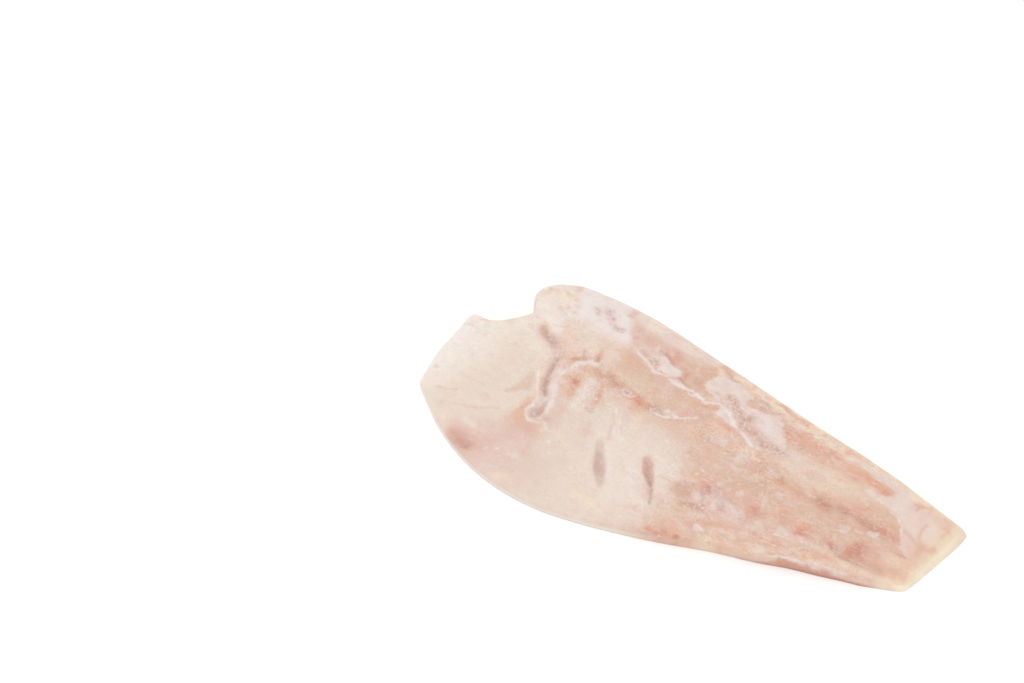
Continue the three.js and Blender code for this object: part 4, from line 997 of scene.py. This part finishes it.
# sRGB value out of 255 to linear light
def linearLight(tint):
    share = np.clip(tint / 255, 0, 1)
    return np.where(share <= 0.04045, share / 12.92, ((share + 0.055) / 1.055) ** 2.4)


# net of the cube carried to the fillet: rounded, laid in plan, raised to its thickness, fitted to the
# solid's box and drawn in or out at a few places of its outline
def layOutFillet(a, b, c):
    form, slope = filletForm, filletForm["tailSlope"]
    u, v, w = [(s + 1) / 2 for s in roundRim(a, b, c)]
    x, y = planPoint(u, v).T
    x = x - slope["back"] * np.maximum(w - slope["start"], 0) * u ** slope["power"]
    z = np.maximum(thickness(u, v) * (w * (1 + form["bulgeBelow"]) - form["bulgeBelow"]), 0)
    low, high = [np.array(corner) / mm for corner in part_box("fillet")]
    x = low[0] + (x - x.min()) * (high[0] - low[0]) / np.ptp(x)
    y = low[1] + (y - y.min()) * (high[1] - low[1]) / np.ptp(y)
    for corner, shift, reach in form["drawnIn"]:
        share = bell(np.hypot(x - corner[0], y - corner[1]) / reach)
        x, y = x + shift[0] * share, y + shift[1] * share
    return x, y, z, w


# relief of the upper face: furrows, crest, gapes and unevenness, then films and white rims that stand proud
def addRelief(x, y, z, w, frost):
    form = filletForm
    upper = ramp(w, *form["upperFace"])
    for halfWidth, rise, line in form["relief"]:
        z = z + upper * rise * bell(lineDistance(x, y, line) / halfWidth)
    for halfWidth, gapeDepth, ends in form["gapes"]:
        z = z - upper * gapeDepth * ramp(lensReach(x, y, ends, halfWidth), *form["gapeSides"])
    broad, middle, fine = [
        height * latticeNoise(x, y, cell, seed) for seed, (height, cell) in enumerate(form["unevenness"], 1)
    ]
    rough = form["roughAtHead"] + form["rougherAtTail"] * ramp(x, form["roughFrom"], form["roughTo"])
    z = z + upper * (broad + rough * (middle + fine))
    film = form["filmRise"] * ramp(frost["filmDepth"], *form["filmEdge"]) * frost["filmCover"]
    z = z + upper * (film + form["rimRise"] * frost["rim"])
    return np.maximum(z, 0)


# the fillet's mesh with its paint, and with the attributes that its material reads
def makeFillet():
    a, b, c, faces = cubeNet()
    x, y, z, w = layOutFillet(a, b, c)
    frost = paintFrost(x, y)
    z = addRelief(x, y, z, w, frost)
    tint = paintSides(paintBoneSide(x, y), x, y, z, a, b, w)
    onTop = ramp(w, *filletForm["paintedTop"])
    mottle, grainy = coarseness(x, y, onTop)
    print("fillet shaped and painted")

    mesh = bpy.data.meshes.new("fillet")
    mesh.from_pydata((np.stack([x, y, z], axis=1) * mm).tolist(), [], faces)
    attributes = dict(
        filmDepth=frost["filmDepth"] * onTop - fleshPaint["filmLimit"] * (1 - onTop),
        filmCover=frost["filmCover"] * onTop, filmFine=frost["filmFine"],
        rim=frost["rim"] * onTop, granule=frost["granule"] * onTop, mottle=mottle, grainy=grainy,
    )
    for name, values in attributes.items():
        mesh.attributes.new(name, "FLOAT", "POINT").data.foreach_set("value", values.astype(np.float32))
    paint = np.concatenate([linearLight(tint) / fleshPaint["lightLevel"], np.ones((len(x), 1))], axis=1)
    tintData = mesh.attributes.new("tint", "FLOAT_COLOR", "POINT").data
    tintData.foreach_set("color", paint.astype(np.float32).ravel())
    mesh.shade_smooth()
    mesh.set_sharp_from_angle(angle=math.radians(filletForm["sharpAngle"]))
    piece = addObject("filletFlesh", mesh)
    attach(piece, "root")
    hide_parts("fillet")
    print("fillet:", len(mesh.vertices), "points,", len(mesh.polygons), "faces")
    return piece


# feeds a socket with another node's output, or sets its value
def feed(tree, socket, value):
    if isinstance(value, bpy.types.NodeSocket):
        tree.links.new(value, socket)
    else:
        socket.default_value = value


# value of one of the mesh's own attributes
def readAttribute(tree, name, output):
    node = tree.nodes.new("ShaderNodeAttribute")
    node.attribute_name = name
    return node.outputs[output]


# noise with cells of the given size in metres, stretched by one factor for each axis and turned in plan
def noiseOf(tree, size, detail=3.0, roughness=0.55, stretch=(1, 1, 1), turned=0.0):
    place = tree.nodes.new("ShaderNodeTexCoord")
    turn = tree.nodes.new("ShaderNodeMapping")
    turn.vector_type = "TEXTURE"
    turn.inputs["Rotation"].default_value = (0, 0, turned)
    turn.inputs["Scale"].default_value = [size * s for s in stretch]
    tree.links.new(place.outputs["Object"], turn.inputs["Vector"])
    noise = tree.nodes.new("ShaderNodeTexNoise")
    noise.inputs["Scale"].default_value = 1
    noise.inputs["Detail"].default_value = detail
    noise.inputs["Roughness"].default_value = roughness
    tree.links.new(turn.outputs[0], noise.inputs["Vector"])
    return noise.outputs[0]


# one operation on two values
def maths(tree, operation, first, second):
    node = tree.nodes.new("ShaderNodeMath")
    node.operation = operation
    feed(tree, node.inputs[0], first)
    feed(tree, node.inputs[1], second)
    return node.outputs[0]


def times(tree, first, second):
    return maths(tree, "MULTIPLY", first, second)


def plus(tree, first, second):
    return maths(tree, "ADD", first, second)


# smooth step of a value between low and high, brought to the range start to end
def between(tree, value, low, high, start=0.0, end=1.0):
    node = tree.nodes.new("ShaderNodeMapRange")
    node.interpolation_type = "SMOOTHSTEP"
    for socket, entry in zip(node.inputs, (value, low, high, start, end)):
        feed(tree, socket, entry)
    return node.outputs[0]


# round dots of a share of the cell's size, in those cells whose own random value is above the threshold
def dotsOf(tree, size, radius, threshold):
    place = tree.nodes.new("ShaderNodeTexCoord")
    cells = tree.nodes.new("ShaderNodeTexVoronoi")
    cells.inputs["Scale"].default_value = 1 / size
    tree.links.new(place.outputs["Object"], cells.inputs["Vector"])
    split = tree.nodes.new("ShaderNodeSeparateColor")
    tree.links.new(cells.outputs["Color"], split.inputs[0])
    chosen = between(tree, split.outputs[0], threshold, threshold + 0.05)
    return times(tree, between(tree, cells.outputs["Distance"], radius, radius * 0.5), chosen)


# two colours mixed by a factor, or blended another way
def mixColour(tree, factor, under, over, blend="MIX"):
    node = tree.nodes.new("ShaderNodeMix")
    node.data_type, node.blend_type = "RGBA", blend
    for index, value in ((0, factor), (6, under), (7, over)):
        feed(tree, node.inputs[index], value)
    return node.outputs[2]


# a named colour in linear light, less what the studio light adds
def colourOf(name):
    shade = linearLight(np.array(fleshPaint["colours"][name], float)) / fleshPaint["lightLevel"]
    return (*shade.tolist(), 1)


# colour with a named one laid over it by a share
def tinge(tree, colour, share, name):
    return mixColour(tree, share, colour, colourOf(name))


# Texture of the frozen flesh. A span is the value at which an effect begins and the one at which it is full,
# with its weakest and strongest after them where these aren't 0 and 1.
grainLean = math.radians(16)
fleshLook = dict(
    # noises: size of a cell, detail, roughness, stretch and turn
    noises=dict(
        patch=(5 * mm, 4, 0.55, (1.6, 1, 1)), grain=(1.3 * mm, 3, 0.6), dust=(0.75 * mm, 1),
        fibre=(3 * mm, 3, 0.55, (5, 1, 2), math.radians(12)), fibrePatch=(14 * mm, 2),
        island=(5.5 * mm, 3, 0.6, (1.8, 1, 1)), streak=(2.2 * mm, 3, 0.55, (3.5, 1, 2), grainLean),
        darkVein=(4.2 * mm, 3, 0.6, (1.7, 1, 1), grainLean),
        paleVein=(5.1 * mm, 3, 0.6, (1.7, 1, 1), grainLean),
        filmCloud=(6 * mm, 3), iceTone=(4.5 * mm, 3), clot=(1.8 * mm, 2),
    ),
    # stains that multiply the paint: noise, what scales it, and strength
    stains=[
        ("patch", "mottle", 0.6), ("fibre", "fibrous", 0.25),
        ("grain", "grainy", 0.85), ("dust", "grainy", 0.45),
    ],
    paleStain=(1.06, 1.12, 1.14, 1), darkStain=(0.93, 0.85, 0.82, 1),
    # islands and streaks with a crisp edge, then veins about a noise's middle value: noise, span and colour
    islands=[
        ("island", (0.58, 0.605, 0, 0.48), "lilac"), ("island", (0.42, 0.395, 0, 0.3), "orange"),
        ("island", (0.36, 0.335, 0, 0.25), "red"), ("streak", (0.6, 0.64, 0, 0.42), "pale"),
        ("streak", (0.37, 0.33, 0, 0.3), "pink"),
    ],
    veins=[("darkVein", (0.018, 0.004, 0, 0.5), "brown"), ("paleVein", (0.018, 0.004, 0, 0.65), "pale")],
    # dots: size of a cell, radius as a share of it, and the random value above which a cell has one
    fleck=(3.6 * mm, 0.32, 0.8), fleckStrength=0.35, glint=(2.3 * mm, 0.19, 0.7),
    # frost: spans of the grain and of the patches that shift the edge of a film and of a rim
    filmShift=dict(grain=(0.3, 0.7, -0.7, 0.7), patch=(0.3, 0.7, -0.6, 0.6)),
    rimShift=dict(grain=(0.3, 0.7, -0.12, 0.12), patch=(0.35, 0.65, -0.15, 0.15)),
    clotted=0.55,
    spans=dict(
        stain=(0.3, 0.7), fibrous=(0.4, 0.6), film=(-0.5, 0.6), filmCloud=(0.3, 0.62, 0.82, 1),
        rim=(0.13, 0.55, 0, 0.56), iceTone=(0.38, 0.68, 0.1, 0.8), darkSpeck=(0.48, 0.66, 0, 0.55),
        paleSpeck=(0.48, 0.32, 0, 0.6), rimTone=(0.45, 0.7), glint=(0.3, 0.8, 0, 0.55),
        roughness=(0, 1, 0.4, 0.6),
    ),
    specular=0.35, subsurface=0.2, scatter=(1.0, 0.4, 0.25), scatterDepth=3 * mm,
    bumpStrength=0.4, bumpHeight=0.5 * mm, bumpShares=dict(grain=0.6, fibre=0.5, frost=0.6),
)


# paint with mottles, lengthwise fibres and grain: darkened and reddened by one end of each noise and paled
# by the other, then islands, streaks, fine winding veins and pale flecks
def stainedFlesh(tree, noises, marks):
    look = fleshLook
    colour = readAttribute(tree, "tint", "Color")
    for noise, scale, strength in look["stains"]:
        share = between(tree, noises[noise], *look["spans"]["stain"])
        stain = mixColour(tree, share, look["paleStain"], look["darkStain"])
        colour = mixColour(tree, times(tree, marks[scale], strength), colour, stain, "MULTIPLY")
    for noise, span, name in look["islands"]:
        share = times(tree, between(tree, noises[noise], *span), marks["mottle"])
        colour = tinge(tree, colour, share, name)
    for noise, span, name in look["veins"]:
        away = maths(tree, "ABSOLUTE", maths(tree, "SUBTRACT", noises[noise], 0.5), 0)
        colour = tinge(tree, colour, times(tree, between(tree, away, *span), marks["fibrous"]), name)
    fleck = times(tree, dotsOf(tree, *look["fleck"]), marks["mottle"])
    return tinge(tree, colour, times(tree, fleck, look["fleckStrength"]), "cream")


# sum of the grain and the patches, each brought to its own span
def unrest(tree, noises, shifts):
    return plus(tree, *[between(tree, noises[name], *shifts[name]) for name in ("grain", "patch")])


# films with a ragged edge and clouds: share of the surface that they cover
def filmShare(tree, noises, marks):
    spans = fleshLook["spans"]
    ragged = times(tree, unrest(tree, noises, fleshLook["filmShift"]), marks["filmFine"])
    film = between(tree, plus(tree, marks["filmDepth"], ragged), *spans["film"])
    film = times(tree, film, marks["filmCover"])
    return times(tree, film, between(tree, noises["filmCloud"], *spans["filmCloud"]))


# white rims with a broken edge
def rimShare(tree, noises, marks):
    broken = unrest(tree, noises, fleshLook["rimShift"])
    return between(tree, plus(tree, marks["rim"], broken), *fleshLook["spans"]["rim"])


# frost over the flesh: films, dark and pale specks where they have thinned, white rims, a few of them partly
# painted highlights, and glints, which are painted highlights
def frostedFlesh(tree, noises, marks, colour, film, rim):
    look, spans = fleshLook, fleshLook["spans"]
    tone = between(tree, noises["iceTone"], *spans["iceTone"])
    colour = mixColour(tree, film, colour, mixColour(tree, tone, colourOf("frost"), colourOf("lilac")))
    colour = tinge(tree, colour, times(tree, marks["granule"], look["clotted"]), "purple")
    for speck, name in (("darkSpeck", "brown"), ("paleSpeck", "frost")):
        share = times(tree, between(tree, noises["clot"], *spans[speck]), marks["granule"])
        colour = tinge(tree, colour, share, name)
    tone = between(tree, noises["clot"], *spans["rimTone"])
    colour = mixColour(tree, rim, colour, mixColour(tree, tone, colourOf("frost"), colourOf("white")))
    shining = between(tree, marks["grainy"], *spans["glint"])
    return tinge(tree, colour, times(tree, dotsOf(tree, *look["glint"]), shining), "white")


# frozen flesh: stained paint under frost, softly glossy, with grain, fibres and frost as fine bumps
def fleshMaterial():
    look = fleshLook
    material = bpy.data.materials.new("frozenFlesh")
    material.use_nodes = True
    tree = material.node_tree
    shader = tree.nodes["Principled BSDF"]
    noises = {name: noiseOf(tree, *settings) for name, settings in look["noises"].items()}
    names = ("filmDepth", "filmCover", "filmFine", "rim", "granule", "mottle", "grainy")
    marks = {name: readAttribute(tree, name, "Fac") for name in names}
    fibrous = between(tree, noises["fibrePatch"], *look["spans"]["fibrous"])
    marks["fibrous"] = times(tree, marks["mottle"], fibrous)

    film, rim = filmShare(tree, noises, marks), rimShare(tree, noises, marks)
    colour = frostedFlesh(tree, noises, marks, stainedFlesh(tree, noises, marks), film, rim)
    tree.links.new(colour, shader.inputs["Base Color"])
    tree.links.new(between(tree, film, *look["spans"]["roughness"]), shader.inputs["Roughness"])
    shader.inputs["Specular IOR Level"].default_value = look["specular"]
    shader.inputs["Subsurface Weight"].default_value = look["subsurface"]
    shader.inputs["Subsurface Radius"].default_value = look["scatter"]
    shader.inputs["Subsurface Scale"].default_value = look["scatterDepth"]

    shares = look["bumpShares"]
    grain, fibre = [times(tree, noises[name], shares[name]) for name in ("grain", "fibre")]
    height = plus(tree, plus(tree, grain, fibre), times(tree, plus(tree, film, rim), shares["frost"]))
    bump = tree.nodes.new("ShaderNodeBump")
    bump.inputs["Strength"].default_value = look["bumpStrength"]
    bump.inputs["Distance"].default_value = look["bumpHeight"]
    tree.links.new(height, bump.inputs["Height"])
    tree.links.new(bump.outputs[0], shader.inputs["Normal"])
    return material


# The studio, in metres: a pale floor, a white room and one wide soft light overhead
studio = dict(
    floorHalf=3.0, floorDrop=0.02 * mm, floorSteps=8, floorColour=(0.96, 0.96, 0.955), floorCloud=60 * mm,
    floorShade=0.99, floorRoughness=0.9, floorSpecular=0.1, roomStrength=1.0,
    lightSize=1.6, lightHeight=2.2, lightPower=10, lightPlace=(-0.6, -0.6),
)


# flat square grid just below the fillet
def makeFloor():
    s = np.linspace(-studio["floorHalf"], studio["floorHalf"], studio["floorSteps"] + 1)
    gridX, gridY = np.meshgrid(s, s, indexing="ij")
    points = np.stack([gridX, gridY, np.full(gridX.shape, -studio["floorDrop"])], axis=-1).reshape(-1, 3)
    faces = gridQuads(np.arange(gridX.size).reshape(gridX.shape))
    mesh = bpy.data.meshes.new("floor")
    mesh.from_pydata(points.tolist(), [], faces.tolist())
    material = bpy.data.materials.new("paleBoard")
    material.use_nodes = True
    tree = material.node_tree
    shader = tree.nodes["Principled BSDF"]
    cloud = between(tree, noiseOf(tree, studio["floorCloud"], 2), 0.3, 0.7)
    light, dark = [(*(shade * s for s in studio["floorColour"]), 1) for shade in (1, studio["floorShade"])]
    tree.links.new(mixColour(tree, cloud, light, dark), shader.inputs["Base Color"])
    shader.inputs["Roughness"].default_value = studio["floorRoughness"]
    shader.inputs["Specular IOR Level"].default_value = studio["floorSpecular"]
    mesh.materials.append(material)
    floor = addObject("floor", mesh)


# even white light from all round, and a wide disk of light above
def makeLight():
    world = bpy.data.worlds.new("whiteRoom")
    world.use_nodes = True
    background = world.node_tree.nodes["Background"]
    background.inputs["Color"].default_value = (1, 1, 1, 1)
    background.inputs["Strength"].default_value = studio["roomStrength"]
    bpy.context.scene.world = world
    softBox = bpy.data.lights.new("softBox", "AREA")
    softBox.shape = "DISK"
    softBox.size = studio["lightSize"]
    softBox.energy = studio["lightPower"]
    lamp = addObject("softBox", softBox)
    lamp.location = (*studio["lightPlace"], studio["lightHeight"])
    bpy.context.scene.view_settings.view_transform = "Standard"


# The view of the photograph: angles in degrees, lens and sensor in mm, distance and target in metres
cameraView = dict(elevation=48, turn=36, lens=85, sensor=36, distance=1.45, target=(-0.1322, 0.0206, 0.0))


# camera on a sphere about its target: back along the line of sight by the distance
def makeCamera():
    elevation, turn = math.radians(cameraView["elevation"]), math.radians(cameraView["turn"])
    level = math.cos(elevation)
    sight = np.array([-math.sin(turn) * level, math.cos(turn) * level, -math.sin(elevation)])
    lens = bpy.data.cameras.new("photoView")
    lens.lens, lens.sensor_width = cameraView["lens"], cameraView["sensor"]
    camera = addObject("photoView", lens)
    camera.location = np.array(cameraView["target"]) - sight * cameraView["distance"]
    camera.rotation_euler = (math.pi / 2 - elevation, 0, turn)
    bpy.context.scene.camera = camera


makeCamera()
makeLight()
makeFloor()
print("camera, light and floor set")
fillet = makeFillet()
fillet.data.materials.append(fleshMaterial())
print("materials set")

bpy.context.view_layer.update()
